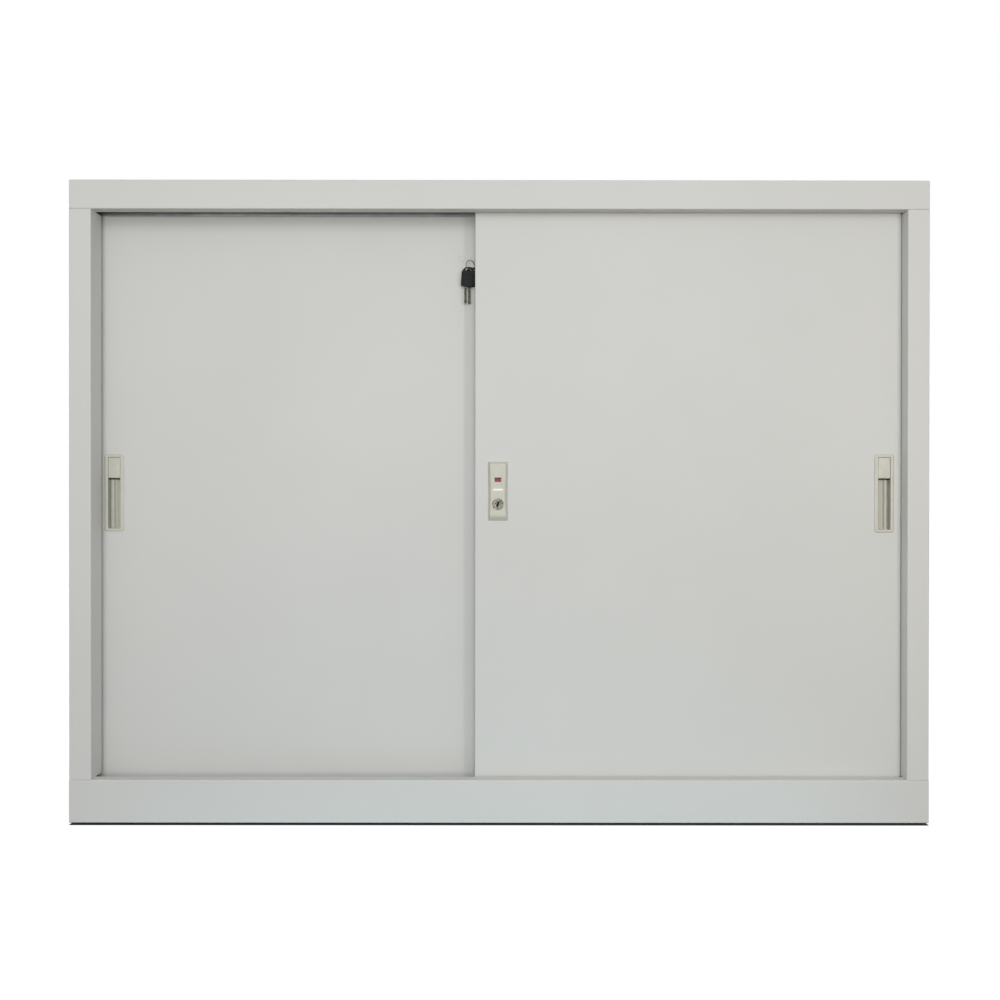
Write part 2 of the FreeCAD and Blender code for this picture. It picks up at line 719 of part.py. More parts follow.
def door_cuts(left, right, face):
    """Slots for the rollers in the bottom edge and for the guide stems in the top edge."""
    middle = face + DOOR_THICKNESS / 2
    reach = WHEEL_RADIUS + WHEEL_RIM + 2 * RUN_CLEARANCE
    half = WHEEL_WIDTH / 2 + RUN_CLEARANCE
    cuts = []
    for x in wheel_places(left, right):
        cuts.append(box(spread(x, 2 * reach), spread(middle, 2 * half), (0, DOOR_BOTTOM + 2 * SHEET)))
    for x in guide_places(left, right):
        across = (x - GUIDE_STEM, x + GUIDE_STEM)
        deep = (middle - GUIDE_STEM / 2, middle + GUIDE_STEM / 2)
        cuts.append(box(across, deep, (DOOR_TOP - 2 * SHEET, HEIGHT)))
    return cuts


def wheel_places(left, right):
    """Middle of each roller along the door."""
    return (left + WHEEL_INSET, right - WHEEL_INSET)


def guide_places(left, right):
    """Middle of each top guide along the door."""
    return (left + GUIDE_INSET, right - GUIDE_INSET)


def door_stiffeners(left, right, face):
    """Two upright hat channels inside the door's face."""
    inner = face + SHEET
    crown = face + DOOR_THICKNESS - SHEET
    solids = []
    for share in (1 / 3, 2 / 3):
        x = left + (right - left) * share
        half, top = HAT_WIDTH / 2, HAT_CROWN / 2
        path = [
            (x - half, inner),
            (x - top - HAT_FLARE, inner),
            (x - top, crown - SHEET),
            (x + top, crown - SHEET),
            (x + top + HAT_FLARE, inner),
            (x + half, inner),
        ]
        ends = (DOOR_BOTTOM + SHEET + BEND, DOOR_TOP - SHEET - BEND)
        solids.append(folded(path, 1, "z", *ends))
    return solids


def roller(x, face):
    """Nylon roller with a groove that rides on the ridge."""
    middle = face + DOOR_THICKNESS / 2
    half, rim = WHEEL_WIDTH / 2, WHEEL_RADIUS + WHEEL_RIM
    groove = GROOVE_WIDTH / 2
    floor = WHEEL_RADIUS - RUN_CLEARANCE
    chamfer = WHEEL_RIM / 3
    hub = AXLE_RADIUS + AXLE_FIT
    outline = [
        (hub, -half),
        (rim - chamfer, -half),
        (rim, -half + chamfer),
        (rim, -groove - chamfer),
        (floor, -groove),
        (floor, groove),
        (rim, groove + chamfer),
        (rim, half - chamfer),
        (rim - chamfer, half),
        (hub, half),
    ]
    points = [Vector(x + r, middle + v, WHEEL_Z) for r, v in outline]
    section = Part.Face(Part.makePolygon(points + points[:1]))
    return section.revolve(Vector(x, middle, WHEEL_Z), Vector(0, 1, 0), 360)


def roller_bracket(x, face):
    """Two cheeks and a head folded round a roller, standing on the door's bottom edge."""
    middle = face + DOOR_THICKNESS / 2
    inner = WHEEL_WIDTH / 2 + RUN_CLEARANCE
    outer = inner + BRACKET_SHEET
    low = DOOR_BOTTOM + SHEET
    high = WHEEL_Z + WHEEL_RADIUS + WHEEL_RIM + BRACKET_HEAD
    path = [
        (middle - outer, low),
        (middle - outer, high),
        (middle + outer, high),
        (middle + outer, low),
    ]
    half = BRACKET_LENGTH / 2
    body = folded(path, -1, "x", x - half, x + half, sheet=BRACKET_SHEET)
    return body.cut(rod((x, WHEEL_Z), AXLE_RADIUS, face, face + DOOR_THICKNESS))


def axle(x, face):
    """Riveted pin through both cheeks of a roller bracket."""
    middle = face + DOOR_THICKNESS / 2
    cheek = WHEEL_WIDTH / 2 + RUN_CLEARANCE + BRACKET_SHEET
    pin = rod((x, WHEEL_Z), AXLE_RADIUS, middle - cheek, middle + cheek)
    heads = [
        rod((x, WHEEL_Z), AXLE_HEAD_RADIUS, middle - cheek - AXLE_HEAD, middle - cheek),
        rod((x, WHEEL_Z), AXLE_HEAD_RADIUS, middle + cheek, middle + cheek + AXLE_HEAD),
    ]
    return pin.fuse(heads).removeSplitter()


def top_guide(x, face, channel):
    """Nylon shoe in the upper track, with a stem in the door's top edge."""
    middle = face + DOOR_THICKNESS / 2
    half = GUIDE_LENGTH / 2
    across = (channel[0] + GUIDE_CLEARANCE, channel[1] - GUIDE_CLEARANCE)
    shoe = box((x - half, x + half), across, (DOOR_TOP, DOOR_TOP + GUIDE_HEIGHT))
    shoe = rounded(shoe, GUIDE_ROUND, lambda b: b.ZLength > GUIDE_HEIGHT / 2)
    stem_x = (x - GUIDE_STEM, x + GUIDE_STEM)
    stem_y = (middle - GUIDE_STEM / 2, middle + GUIDE_STEM / 2)
    return shoe.fuse(box(stem_x, stem_y, (DOOR_TOP - GUIDE_HEIGHT, DOOR_TOP))).removeSplitter()


# ---- recessed handles ----
def handle_cup(x, face, outer):
    """Moulded cup; outer (-1 or 1) is the side of the handle nearest the jamb."""
    rim = plate((x, HANDLE_Z), (HANDLE_WIDTH, HANDLE_HEIGHT), HANDLE_CORNER, face - HANDLE_RIM, face)
    rim = rounded(rim, HANDLE_RIM / 2, lambda b: b.YMax < face - HANDLE_RIM / 2)
    width, height = CUP_WIDTH + 2 * CUP_WALL, CUP_HEIGHT + 2 * CUP_WALL
    bottom = face + CUP_DEPTH + CUP_WALL
    cup = rim.fuse(plate((x, HANDLE_Z), (width, height), CUP_WALL, face, bottom))
    split = HANDLE_Z + CUP_HEIGHT / 2 - COVER_HEIGHT
    cover_y = (face - 2 * HANDLE_RIM, face + CUP_DEPTH)
    cup = cup.cut(box(spread(x, CUP_WIDTH), cover_y, (split, cup_top())))
    a = CUP_WIDTH / 2
    groove = a - GRIP_GROOVE
    rib = groove - GRIP_RIB
    front = face - 2 * HANDLE_RIM
    corners = [
        (x + outer * a, front, 0),
        (x + outer * a, face + CUP_DEPTH, GRIP_ROUND),
        (x + outer * groove, face + CUP_DEPTH, GRIP_ROUND),
        (x + outer * (groove - GRIP_DRAFT), face + GRIP_RIB_DEPTH, GRIP_ROUND),
        (x + outer * (rib + GRIP_DRAFT), face + GRIP_RIB_DEPTH, GRIP_ROUND),
        (x + outer * rib, face + GRIP_SHELF_DEPTH, GRIP_ROUND),
        (x - outer * a, face + GRIP_SHELF_DEPTH, 2 * GRIP_ROUND),
        (x - outer * a, front, 0),
    ]
    recess = prism(corners, "z", HANDLE_Z - CUP_HEIGHT / 2, split)
    hole = rod((x, cover_middle()), CUP_SCREW_RADIUS, face, face + DOOR_THICKNESS)
    return cup.cut(recess).cut(hole)


def spread(middle, size):
    """Two values, half a size each side of a middle."""
    return (middle - size / 2, middle + size / 2)


def cup_top():
    """Top of the handle's recess."""
    return HANDLE_Z + CUP_HEIGHT / 2


def cover_middle():
    """Height of the middle of the cover that hides the handle's screw."""
    return cup_top() - COVER_HEIGHT / 2


def handle_cover(x, face):
    """Cap over the handle's fixing screw, hollow behind."""
    across = spread(x, CUP_WIDTH - 2 * COVER_FIT)
    height = (cup_top() - COVER_HEIGHT + COVER_FIT, cup_top() - COVER_FIT)
    front = face - HANDLE_RIM + COVER_SINK
    cap = box(across, (front, face + CUP_DEPTH), height)
    cap = rounded(cap, EDGE, lambda b: b.YMax < front + NEAR)
    inner_x = (across[0] + COVER_WALL, across[1] - COVER_WALL)
    inner_z = (height[0] + COVER_WALL, height[1] - COVER_WALL)
    return cap.cut(box(inner_x, (front + COVER_WALL, face + CUP_DEPTH + PAST), inner_z))


def handle_fixing(x, face):
    """Screw through the cup's floor, and the plate it pulls against the back of the door's face."""
    floor = face + CUP_DEPTH
    back = floor + CUP_WALL
    place = (x, cover_middle())
    head = rod(place, CUP_SCREW_HEAD, floor - SCREW_RISE, floor)
    head = rounded(head, SCREW_RISE / 2, lambda b: b.YMax < floor - SCREW_RISE / 2)
    shank = rod(place, CUP_SCREW_RADIUS, floor, back + CUP_NUT_SHEET)
    nut = box(spread(x, CUP_NUT_SIZE), (back, back + CUP_NUT_SHEET), spread(place[1], CUP_NUT_SIZE))
    thread = rod(place, CUP_SCREW_RADIUS, back - PAST, back + PAST + CUP_NUT_SHEET)
    return [head.fuse(shank), nut.cut(thread)]


def handle_hole(x, face):
    """Cut-out in the door for the cup."""
    size = (CUP_WIDTH + 2 * (CUP_WALL + CUP_FIT), CUP_HEIGHT + 2 * (CUP_WALL + CUP_FIT))
    return plate((x, HANDLE_Z), size, CUP_WALL, face - PAST, face + 2 * SHEET)


# ---- lock ----
def lock_front():
    """Front of the lock housing."""
    return FACE_1 - LOCK_RISE


def lock_housing():
    """Moulded bevelled housing, hollow behind, with the sunk field, window and cylinder hole."""
    half, tall = LOCK_WIDTH / 2, LOCK_HEIGHT / 2
    low = rectangle(LOCK_X - half, LOCK_X + half, LOCK_Z - tall, LOCK_Z + tall, FACE_1)
    top = rectangle(
        LOCK_X - half + LOCK_BEVEL_SIDE,
        LOCK_X + half - LOCK_BEVEL_SIDE,
        LOCK_Z - tall + LOCK_BEVEL_BOTTOM,
        LOCK_Z + tall - LOCK_BEVEL_TOP,
        lock_front(),
    )
    bezel = Part.makeLoft([low, top], True, True)
    bezel = rounded(bezel, LOCK_ROUND, lambda b: b.YMax < FACE_1 - NEAR or b.YLength > PAST)
    back = BACK_1 - LOCK_BACK
    body = plate((LOCK_X, LOCK_Z), (LOCK_BODY_WIDTH, LOCK_BODY_HEIGHT), LOCK_CORNER, FACE_1, back)
    hollow_y = (lock_field() + LOCK_WALL, back - LOCK_WALL)
    inner_height = spread(LOCK_Z, LOCK_BODY_HEIGHT - 2 * LOCK_WALL)
    hollow = box(spread(LOCK_X, LOCK_BODY_WIDTH - 2 * LOCK_WALL), hollow_y, inner_height)
    field_z = spread(LOCK_Z + FIELD_RISE, FIELD_HEIGHT)
    slope = [
        (lock_front() - PAST, field_z[0], 0),
        (lock_front(), field_z[0], 0),
        (lock_field(), field_z[0] + FIELD_LEDGE, 0),
        (lock_front(), field_z[1], 0),
        (lock_front() - PAST, field_z[1], 0),
    ]
    field = prism(slope, "x", *spread(LOCK_X, FIELD_WIDTH))
    window = box(
        spread(LOCK_X, WINDOW_WIDTH),
        (lock_front() - PAST, FACE_1 + LOCK_WALL),
        spread(window_z(), WINDOW_HEIGHT),
    )
    hole = rod((LOCK_X, CYLINDER_Z), CYLINDER_RADIUS, lock_front() - PAST, cylinder_back())
    tail = rod((LOCK_X, CYLINDER_Z), TAIL_RADIUS + CRANK_FIT, cylinder_back(), BACK_1)
    housing = bezel.fuse(body).removeSplitter()
    return housing.cut(hollow).cut(field).cut(window).cut(hole).cut(tail)


def rectangle(x0, x1, z0, z1, y):
    """Closed rectangle across Y."""
    points = [Vector(x0, y, z0), Vector(x1, y, z0), Vector(x1, y, z1), Vector(x0, y, z1)]
    return Part.makePolygon(points + points[:1])


def lock_field():
    """Deepest line of the sunk field."""
    return lock_front() + FIELD_DEPTH


def window_z():
    """Height of the indicator window."""
    return LOCK_Z + WINDOW_RISE


def cylinder_back():
    """Back of the lock cylinder."""
    return lock_front() + CYLINDER_LENGTH - CYLINDER_PROUD


def lock_window():
    """Clear pane in the window."""
    back = lock_field() + LOCK_WALL
    size = (WINDOW_WIDTH, WINDOW_HEIGHT)
    return plate((LOCK_X, window_z()), size, 0, back - WINDOW_SHEET, back)


def lock_cylinder():
    """Fixed zinc sleeve round the plug."""
    front = lock_front() - CYLINDER_PROUD
    sleeve = rod((LOCK_X, CYLINDER_Z), CYLINDER_RADIUS, front, cylinder_back())
    sleeve = rounded(sleeve, EDGE, lambda b: b.YMax < front + NEAR)
    return sleeve.cut(rod((LOCK_X, CYLINDER_Z), PLUG_RADIUS, front - PAST, cylinder_back() + PAST))


def crank_start():
    """Angle of the crank pin at rest, so that it swings evenly about level."""
    return math.radians(CAM_TURN / 2)


def lock_plug():
    """Turning plug with its keyway, crank pin and tail."""
    front = lock_front() - CYLINDER_PROUD - PLUG_PROUD
    radius = PLUG_RADIUS - PLUG_FIT
    plug = rod((LOCK_X, CYLINDER_Z), radius, front, cylinder_back())
    plug = rounded(plug, EDGE, lambda b: b.YMax < front + NEAR)
    keyway = box(
        spread(LOCK_X, KEYWAY_WIDTH),
        (front - PAST, front + KEYWAY_DEPTH),
        spread(CYLINDER_Z, KEYWAY_HEIGHT),
    )
    tail = rod((LOCK_X, CYLINDER_Z), TAIL_RADIUS, cylinder_back(), BACK_1 + CAM_GAP + CAM_SHEET)
    angle = crank_start()
    pin_place = (LOCK_X + CRANK_RADIUS * math.cos(angle), CYLINDER_Z + CRANK_RADIUS * math.sin(angle))
    pin = rod(pin_place, CRANK_PIN, cylinder_back(), fork_front() + FORK_SHEET + CRANK_FIT)
    return plug.cut(keyway).fuse(tail).fuse(pin).removeSplitter()


def fork_front():
    """Front face of the fork behind the cylinder."""
    return cylinder_back() + CRANK_FIT


def lock_indicator():
    """Flag behind the window, carried by a stem and a fork that the crank pin lifts."""
    back = lock_field() + LOCK_WALL
    flag_y = (back + FLAG_FIT, back + FLAG_FIT + FLAG_SHEET)
    width = LOCK_BODY_WIDTH - 2 * LOCK_WALL - 2 * FLAG_FIT
    low = window_z() - WINDOW_HEIGHT / 2 - FLAG_FIT
    flag = box(spread(LOCK_X, width), flag_y, (low, low + FLAG_HEIGHT))
    arm_y = (fork_front(), fork_front() + FORK_SHEET)
    bridge_z = (low + FLAG_HEIGHT - 3 * FLAG_SHEET, low + FLAG_HEIGHT)
    right = LOCK_X + width / 2
    inner = LOCK_X + CRANK_RADIUS + CRANK_PIN + FORK_BAR
    angle = crank_start()
    pin_z = CYLINDER_Z + CRANK_RADIUS * math.sin(angle)
    slot = CRANK_PIN + CRANK_FIT
    tip = LOCK_X + TAIL_RADIUS + CRANK_FIT
    bridge = box((inner, right), (flag_y[0], arm_y[1]), bridge_z)
    stem = box((inner, right), arm_y, (pin_z - slot - FORK_BAR, bridge_z[1]))
    upper = box((tip, right), arm_y, (pin_z + slot, pin_z + slot + FORK_BAR))
    lower = box((tip, right), arm_y, (pin_z - slot - FORK_BAR, pin_z - slot))
    return flag.fuse([bridge, stem, upper, lower]).removeSplitter()


def lock_cam():
    """Hook that turns round the striker's stud to hold the two doors together."""
    y = (BACK_1 + CAM_GAP, BACK_1 + CAM_GAP + CAM_SHEET)
    centre = (LOCK_X, CYLINDER_Z)
    jaw = STUD_RADIUS + STUD_CLEARANCE
    blade = sector(centre, (CAM_HUB / 2, CAM_REACH), (CAM_MOUTH, CAM_END), *y)
    slot = sector(centre, (STUD_ORBIT - jaw, STUD_ORBIT + jaw), (0, CAM_TURN), *y)
    angle = math.radians(CAM_TURN)
    end = (LOCK_X + STUD_ORBIT * math.cos(angle), CYLINDER_Z + STUD_ORBIT * math.sin(angle))
    hub = rod(centre, CAM_HUB, *y)
    cam = blade.cut(slot).cut(rod(end, jaw, *y)).fuse(hub).removeSplitter()
    return cam.cut(rod(centre, TAIL_RADIUS, *y))


def cam_nut():
    """Hexagon nut that holds the cam on the plug's tail."""
    low = BACK_1 + CAM_GAP + CAM_SHEET
    corners = []
    for i in range(6):
        turn = math.radians(60 * i)
        x = LOCK_X + NUT_RADIUS * math.cos(turn)
        corners.append((x, CYLINDER_Z + NUT_RADIUS * math.sin(turn), 0))
    return prism(corners, "y", low, low + NUT_HEIGHT)


def lock_hole():
    """Cut-out in the front door for the lock's body."""
    size = (LOCK_BODY_WIDTH + 2 * CUP_FIT, LOCK_BODY_HEIGHT + 2 * CUP_FIT)
    return plate((LOCK_X, LOCK_Z), size, LOCK_CORNER, FACE_1 - PAST, FACE_1 + 2 * SHEET)


def lock_striker():
    """Plate on the rear door with the stud that the cam hooks round."""
    x = LOCK_X + STUD_ORBIT
    front = FACE_2 - STRIKER_SHEET
    base = plate((x, CYLINDER_Z), (STRIKER_WIDTH, STRIKER_HEIGHT), STRIKER_CORNER, front, FACE_2)
    tip = BACK_1 + STRIKER_TIP_GAP
    stud = rod((x, CYLINDER_Z), STUD_RADIUS, tip, FACE_2)
    stud = rounded(stud, EDGE, lambda b: b.YMax < tip + NEAR)
    rivets = []
    for z in (-1, 1):
        place = (x, CYLINDER_Z + z * STRIKER_HEIGHT / 3)
        rivets.append(rod(place, STUD_RADIUS, front - STRIKER_SHEET, FACE_2))
    return base.fuse([stud] + rivets).removeSplitter()


# ---- keys ----
def key_ring():
    """Wire ring, turned so that it passes through both key heads."""
    ring = Part.makeTorus(RING_RADIUS, RING_WIRE, Vector(0, 0, 0), Vector(0, 1, 0))
    ring.rotate(Vector(0, 0, 0), Vector(0, 0, 1), RING_TURN)
    ring.translate(Vector(RING_X, BETWEEN, RING_Z))
    return ring


def key_place(side):
    """Middle of a key's eye along X, and its front face."""
    front = BETWEEN - KEY_GAP / 2 - KEY_SHEET if side < 0 else BETWEEN + KEY_GAP / 2
    return RING_X + side * KEY_OFFSET, front


def eye_z():
    """Height of the eyes in the key heads."""
    return RING_Z - RING_RADIUS + EYE_RISE


def head_low():
    """Height of the bottom of the key heads."""
    return eye_z() + EYE_HEIGHT / 2 + HEAD_TOP_WALL - HEAD_HEIGHT


def key_blade(side):
    """Flat blade with bitting on both edges, and a tang inside the head."""
    eye_x, front = key_place(side)
    x = eye_x - BLADE_ASIDE
    y = spread(front + KEY_SHEET / 2, BLADE_SHEET)
    half = BLADE_WIDTH / 2
    tip = head_low() - BLADE_LENGTH
    left, right = [], []
    step = BLADE_LENGTH / (BLADE_CUTS + 2)
    nose = step / 2
    for i in range(BLADE_CUTS):
        z = tip + step * (i + 1)
        depth = CUT_DEPTH * (1 - (i % CUT_DEPTHS) / CUT_DEPTHS)
        left += [(x - half, z, 0), (x - half + depth, z + step / 3, 0), (x - half, z + step * 2 / 3, 0)]
        depth = CUT_DEPTH * (1 - ((i + 1) % CUT_DEPTHS) / CUT_DEPTHS)
        right += [(x + half, z, 0), (x + half - depth, z + step / 3, 0), (x + half, z + step * 2 / 3, 0)]
    tang = TANG_WIDTH / 2
    top = head_low() + TANG_LENGTH
    corners = [(x - half, tip + nose, 0)] + left
    corners += [(x - half, head_low(), 0), (x - tang, head_low(), 0), (x - tang, top, 0)]
    corners += [(x + tang, top, 0), (x + tang, head_low(), 0), (x + half, head_low(), 0)]
    corners += right[::-1] + [(x + half, tip + nose, 0), (x, tip, 0)]
    return prism(corners, "y", *y)


def key_head(side):
    """Moulded head round the tang, with shoulders and a long eye."""
    x, front = key_place(side)
    half = HEAD_WIDTH / 2
    shoulder = half - HEAD_TAPER
    low, high = head_low(), head_low() + HEAD_HEIGHT
    corners = [
        (x - half, low, 2 * HEAD_CORNER),
        (x + half, low, 2 * HEAD_CORNER),
        (x + shoulder, high - HEAD_CHAMFER, HEAD_CORNER),
        (x + shoulder - HEAD_CHAMFER, high, HEAD_CORNER),
        (x - shoulder + HEAD_CHAMFER, high, HEAD_CORNER),
        (x - shoulder, high - HEAD_CHAMFER, HEAD_CORNER),
    ]
    head = prism(corners, "y", front, front + KEY_SHEET)
    head = rounded(head, HEAD_ROUND, lambda b: b.YLength < NEAR)
    through = (front - PAST, front + KEY_SHEET + PAST)
    eye = plate((x, eye_z()), (EYE_WIDTH, EYE_HEIGHT), EYE_HEIGHT / 2 - NEAR, *through)
    return head.cut(eye).cut(key_blade(side))


def key_tape():
    """Clear strip stuck to the rear door on both sides of the ring and raised over it."""
    half = TAPE_LENGTH / 2
    wide = RING_RADIUS * math.sqrt(1 - TAPE_REST**2)
    peak = BETWEEN - wide * math.sin(math.radians(RING_TURN)) - RING_WIRE - TAPE_FIT
    bridge = wide + 2 * RING_WIRE
    path = [
        (RING_X - half, FACE_2),
        (RING_X - bridge - TAPE_SLOPE, FACE_2),
        (RING_X - bridge, peak),
        (RING_X + bridge, peak),
        (RING_X + bridge + TAPE_SLOPE, FACE_2),
        (RING_X + half, FACE_2),
    ]
    low = RING_Z + RING_RADIUS * TAPE_REST
    return folded(path, -1, "z", low, low + TAPE_WIDTH, sheet=TAPE_SHEET)


def build_carcass():
    """Everything that stays still."""
    right = side_panel()
    save("side_panel_right", right)
    save("side_panel_left", mirrored(right))
    save("top_panel", top_panel())
    save("sill_rail", sill_rail())
    save("floor_panel", floor_panel())
    save("back_panel", back_panel())
    save("rear_rail", rear_rail())
    save("floor_brace", floor_brace())
    save("corner_gussets", *gussets())
    save("foot_plates", *foot_plates())
    save("feet", *feet())
    save("lower_track", lower_track())
    save("upper_track", upper_track())
    save("track_screws", *track_screws())
    save("track_stops", *track_stops())
    for name, y in zip(("front", "rear"), upright_places()):
        strip = upright(y)
        save("upright_" + name + "_right", strip)
        save("upright_" + name + "_left", mirrored(strip))
    for number, slot in enumerate(shelf_slots(), 1):
        save("shelf_" + str(number), shelf(slot))
    save("shelf_clips", *[c for slot in shelf_slots() for c in clips(slot)])


def build_door(name, left, right, face, outer, channel, cuts):
    """One sliding door with its handle, rollers and guides."""
    edge = right if outer > 0 else left
    handle_x = edge - outer * (HANDLE_INSET + HANDLE_WIDTH / 2)
    cuts = door_cuts(left, right, face) + [handle_hole(handle_x, face)] + cuts
    save(name + "_door_panel", door_panel(left, right, face, cuts))
    save(name + "_door_stiffeners", *door_stiffeners(left, right, face))
    save(name + "_handle_cup", handle_cup(handle_x, face, outer))
    save(name + "_handle_cover", handle_cover(handle_x, face))
    save(name + "_handle_fixing", *handle_fixing(handle_x, face))
    wheels = wheel_places(left, right)
    save(name + "_roller_brackets", *[roller_bracket(x, face) for x in wheels])
    save(name + "_roller_axles", *[axle(x, face) for x in wheels])
    for number, x in enumerate(wheels, 1):
        save(name + "_roller_" + str(number), roller(x, face))
    save(name + "_top_guides", *[top_guide(x, face, channel) for x in guide_places(left, right)])


def build_lock():
    """Lock on the front door and its striker on the rear door."""
    save("lock_housing", lock_housing())
    save("lock_window", lock_window())
    save("lock_cylinder", lock_cylinder())
    save("lock_plug", lock_plug())
    save("lock_indicator", lock_indicator())
    save("lock_cam", lock_cam())
    save("lock_cam_nut", cam_nut())
    save("lock_striker", lock_striker())


def build_keys():
    """Two keys on a ring, taped to the rear door."""
    save("key_ring", key_ring())
    save("key_tape", key_tape())
    for number, side in enumerate((-1, 1), 1):
        save("key_" + str(number) + "_head", key_head(side))
        save("key_" + str(number) + "_blade", key_blade(side))


def main():
    """Build every node."""
    os.makedirs("parts", exist_ok=True)
    walls = track_walls()
    front_channel = (walls[0] + TRACK_WALL, walls[1])
    rear_channel = (walls[1] + TRACK_WALL, walls[2])
    build_carcass()
    build_door("right", -INNER_EDGE, RIGHT_EDGE, FACE_1, 1, front_channel, [lock_hole()])
    build_door("left", LEFT_EDGE, INNER_EDGE, FACE_2, -1, rear_channel, [])
    build_lock()
    build_keys()


main()
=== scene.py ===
import math

import bmesh
import bpy
import numpy as np
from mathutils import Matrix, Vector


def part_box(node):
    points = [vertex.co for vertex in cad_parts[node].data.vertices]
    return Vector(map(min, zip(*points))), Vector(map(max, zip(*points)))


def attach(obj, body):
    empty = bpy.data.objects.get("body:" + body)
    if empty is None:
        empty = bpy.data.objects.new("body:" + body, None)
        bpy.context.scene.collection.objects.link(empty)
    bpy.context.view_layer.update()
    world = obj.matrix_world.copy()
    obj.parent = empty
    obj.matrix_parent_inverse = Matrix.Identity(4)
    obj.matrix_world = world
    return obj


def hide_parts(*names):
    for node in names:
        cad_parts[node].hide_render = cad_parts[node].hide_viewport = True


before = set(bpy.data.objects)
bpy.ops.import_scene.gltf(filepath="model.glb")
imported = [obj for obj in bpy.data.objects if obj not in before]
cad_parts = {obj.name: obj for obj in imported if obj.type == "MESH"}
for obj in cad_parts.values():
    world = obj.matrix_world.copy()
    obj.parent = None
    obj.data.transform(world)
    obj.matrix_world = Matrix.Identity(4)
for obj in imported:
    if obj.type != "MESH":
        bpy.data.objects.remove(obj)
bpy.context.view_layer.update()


# ---- camera ----
# A studio camera on a low stand, square to the doors and about level with the lock.
# It stands a little over a metre and a half from the middle of the cabinet.
CAMERA_PLACE = (-0.00085, -1.6176, 0.4515)
CAMERA_DOWN = math.radians(0.203)
CAMERA_ROLL = math.radians(-0.053)
CAMERA_TURN = math.radians(-0.069)
CAMERA_LENS = 37.23  # millimetres, on the usual 36 mm sensor

camera = bpy.data.objects.new("camera", bpy.data.cameras.new("camera"))
camera.data.lens = CAMERA_LENS
camera.location = CAMERA_PLACE
camera.rotation_euler = (math.pi / 2 - CAMERA_DOWN, CAMERA_ROLL, CAMERA_TURN)
bpy.context.scene.collection.objects.link(camera)
bpy.context.scene.camera = camera


# ---- carcass sheets ----
# Sides, top, sill, floor and back are folded from 0.8 mm cold-rolled steel and spot-welded.
# They are powder-coated in one warm light grey, which leaves a faint orange peel.
class Shade:
    """A socket in a material's tree. Arithmetic on it adds Math nodes."""

    def __init__(self, tree, socket=None):
        self.tree = tree
        self.socket = socket

    def node(self, kind, settings=None, inputs=None, out=0):
        """Any node: its settings are set first, then each input gets its value or link."""
        made = self.tree.nodes.new("ShaderNode" + kind)
        for name, value in (settings or {}).items():
            setattr(made, name, value)
        for name, value in (inputs or {}).items():
            if isinstance(value, Shade):
                self.tree.links.new(value.socket, made.inputs[name])
            else:
                made.inputs[name].default_value = value
        return Shade(self.tree, made.outputs[out] if made.outputs else None)

    def math(self, operation, *values):
        """One Math node on numbers or sockets."""
        return self.node("Math", {"operation": operation}, dict(enumerate(values)))

    def __add__(self, other):
        return self.math("ADD", self, other)

    def __sub__(self, other):
        return self.math("SUBTRACT", self, other)

    def __rsub__(self, other):
        return self.math("SUBTRACT", other, self)

    def __mul__(self, other):
        return self.math("MULTIPLY", self, other)

    __radd__ = __add__
    __rmul__ = __mul__

    def between(self, low, high):
        """0 below low, 1 above high, and a smooth step between them."""
        limits = {"Value": self, "From Min": low, "From Max": high}
        return self.node("MapRange", {"interpolation_type": "SMOOTHSTEP"}, limits)

    def blend(self, first, second):
        """Colour that goes from first to second as this value goes from 0 to 1."""
        return self.node("Mix", {"data_type": "RGBA"}, {0: self, 6: first, 7: second}, out=2)

    def place(self, stretch=(1, 1, 1)):
        """A point's own coordinates in metres, stretched along the axes."""
        point = self.node("TexCoord", out="Object")
        if stretch == (1, 1, 1):
            return point
        return self.node("VectorMath", {"operation": "MULTIPLY"}, {0: point, 1: stretch})

    def along(self, axis):
        """A point's coordinate in metres along one axis."""
        return self.node("SeparateXYZ", inputs={0: self.place()}, out=axis)

    def off_axis(self, centre):
        """Distance in metres from the line through a point that runs from front to back."""
        aside = self.node("VectorMath", {"operation": "SUBTRACT"}, {0: self.place(), 1: centre})
        flat = self.node("VectorMath", {"operation": "MULTIPLY"}, {0: aside, 1: (1, 0, 1)})
        return self.node("VectorMath", {"operation": "LENGTH"}, {0: flat}, out="Value")

    def noise(self, size, detail=2.0, stretch=(1, 1, 1)):
        """Cloudy values around a half, whose lumps are about size metres across."""
        inputs = {"Vector": self.place(stretch), "Scale": 1 / size, "Detail": detail}
        return self.node("TexNoise", inputs=inputs)

    def bump(self, height, depth):
        """Normal of a surface whose height in metres is depth times a value."""
        return self.node("Bump", inputs={"Height": height, "Distance": depth, "Strength": 1.0})


def empty_tree(owner):
    """The cleared node tree of a material or of the world, ready for nodes."""
    owner.use_nodes = True
    owner.node_tree.nodes.clear()
    return Shade(owner.node_tree)


def material(name, build):
    """A material whose Principled sockets are what build gives for them."""
    made = bpy.data.materials.new(name)
    start = empty_tree(made)
    surface = start.node("BsdfPrincipled", inputs=build(start))
    start.node("OutputMaterial", inputs={"Surface": surface})
    return made


def tone(red, green, blue):
    """Linear colour of an 8-bit screen colour."""
    screen = np.array([red, green, blue]) / 255
    linear = np.where(screen > 0.04045, ((screen + 0.055) / 1.055) ** 2.4, screen / 12.92)
    return (*linear.tolist(), 1.0)


def scaled(colour, factor):
    """A colour made lighter or darker by a factor."""
    return (*(value * factor for value in colour[:3]), 1.0)


def dress(finish, *names):
    """Gives CAD nodes one material."""
    for name in names:
        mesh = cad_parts[name].data
        mesh.materials.clear()
        mesh.materials.append(finish)


COAT_COLOUR = tone(205, 204, 200)
COAT_CLOUD = 0.30  # these three are the sizes of its patterns in metres
COAT_PEEL = 0.0018
COAT_SPECK = 0.0005


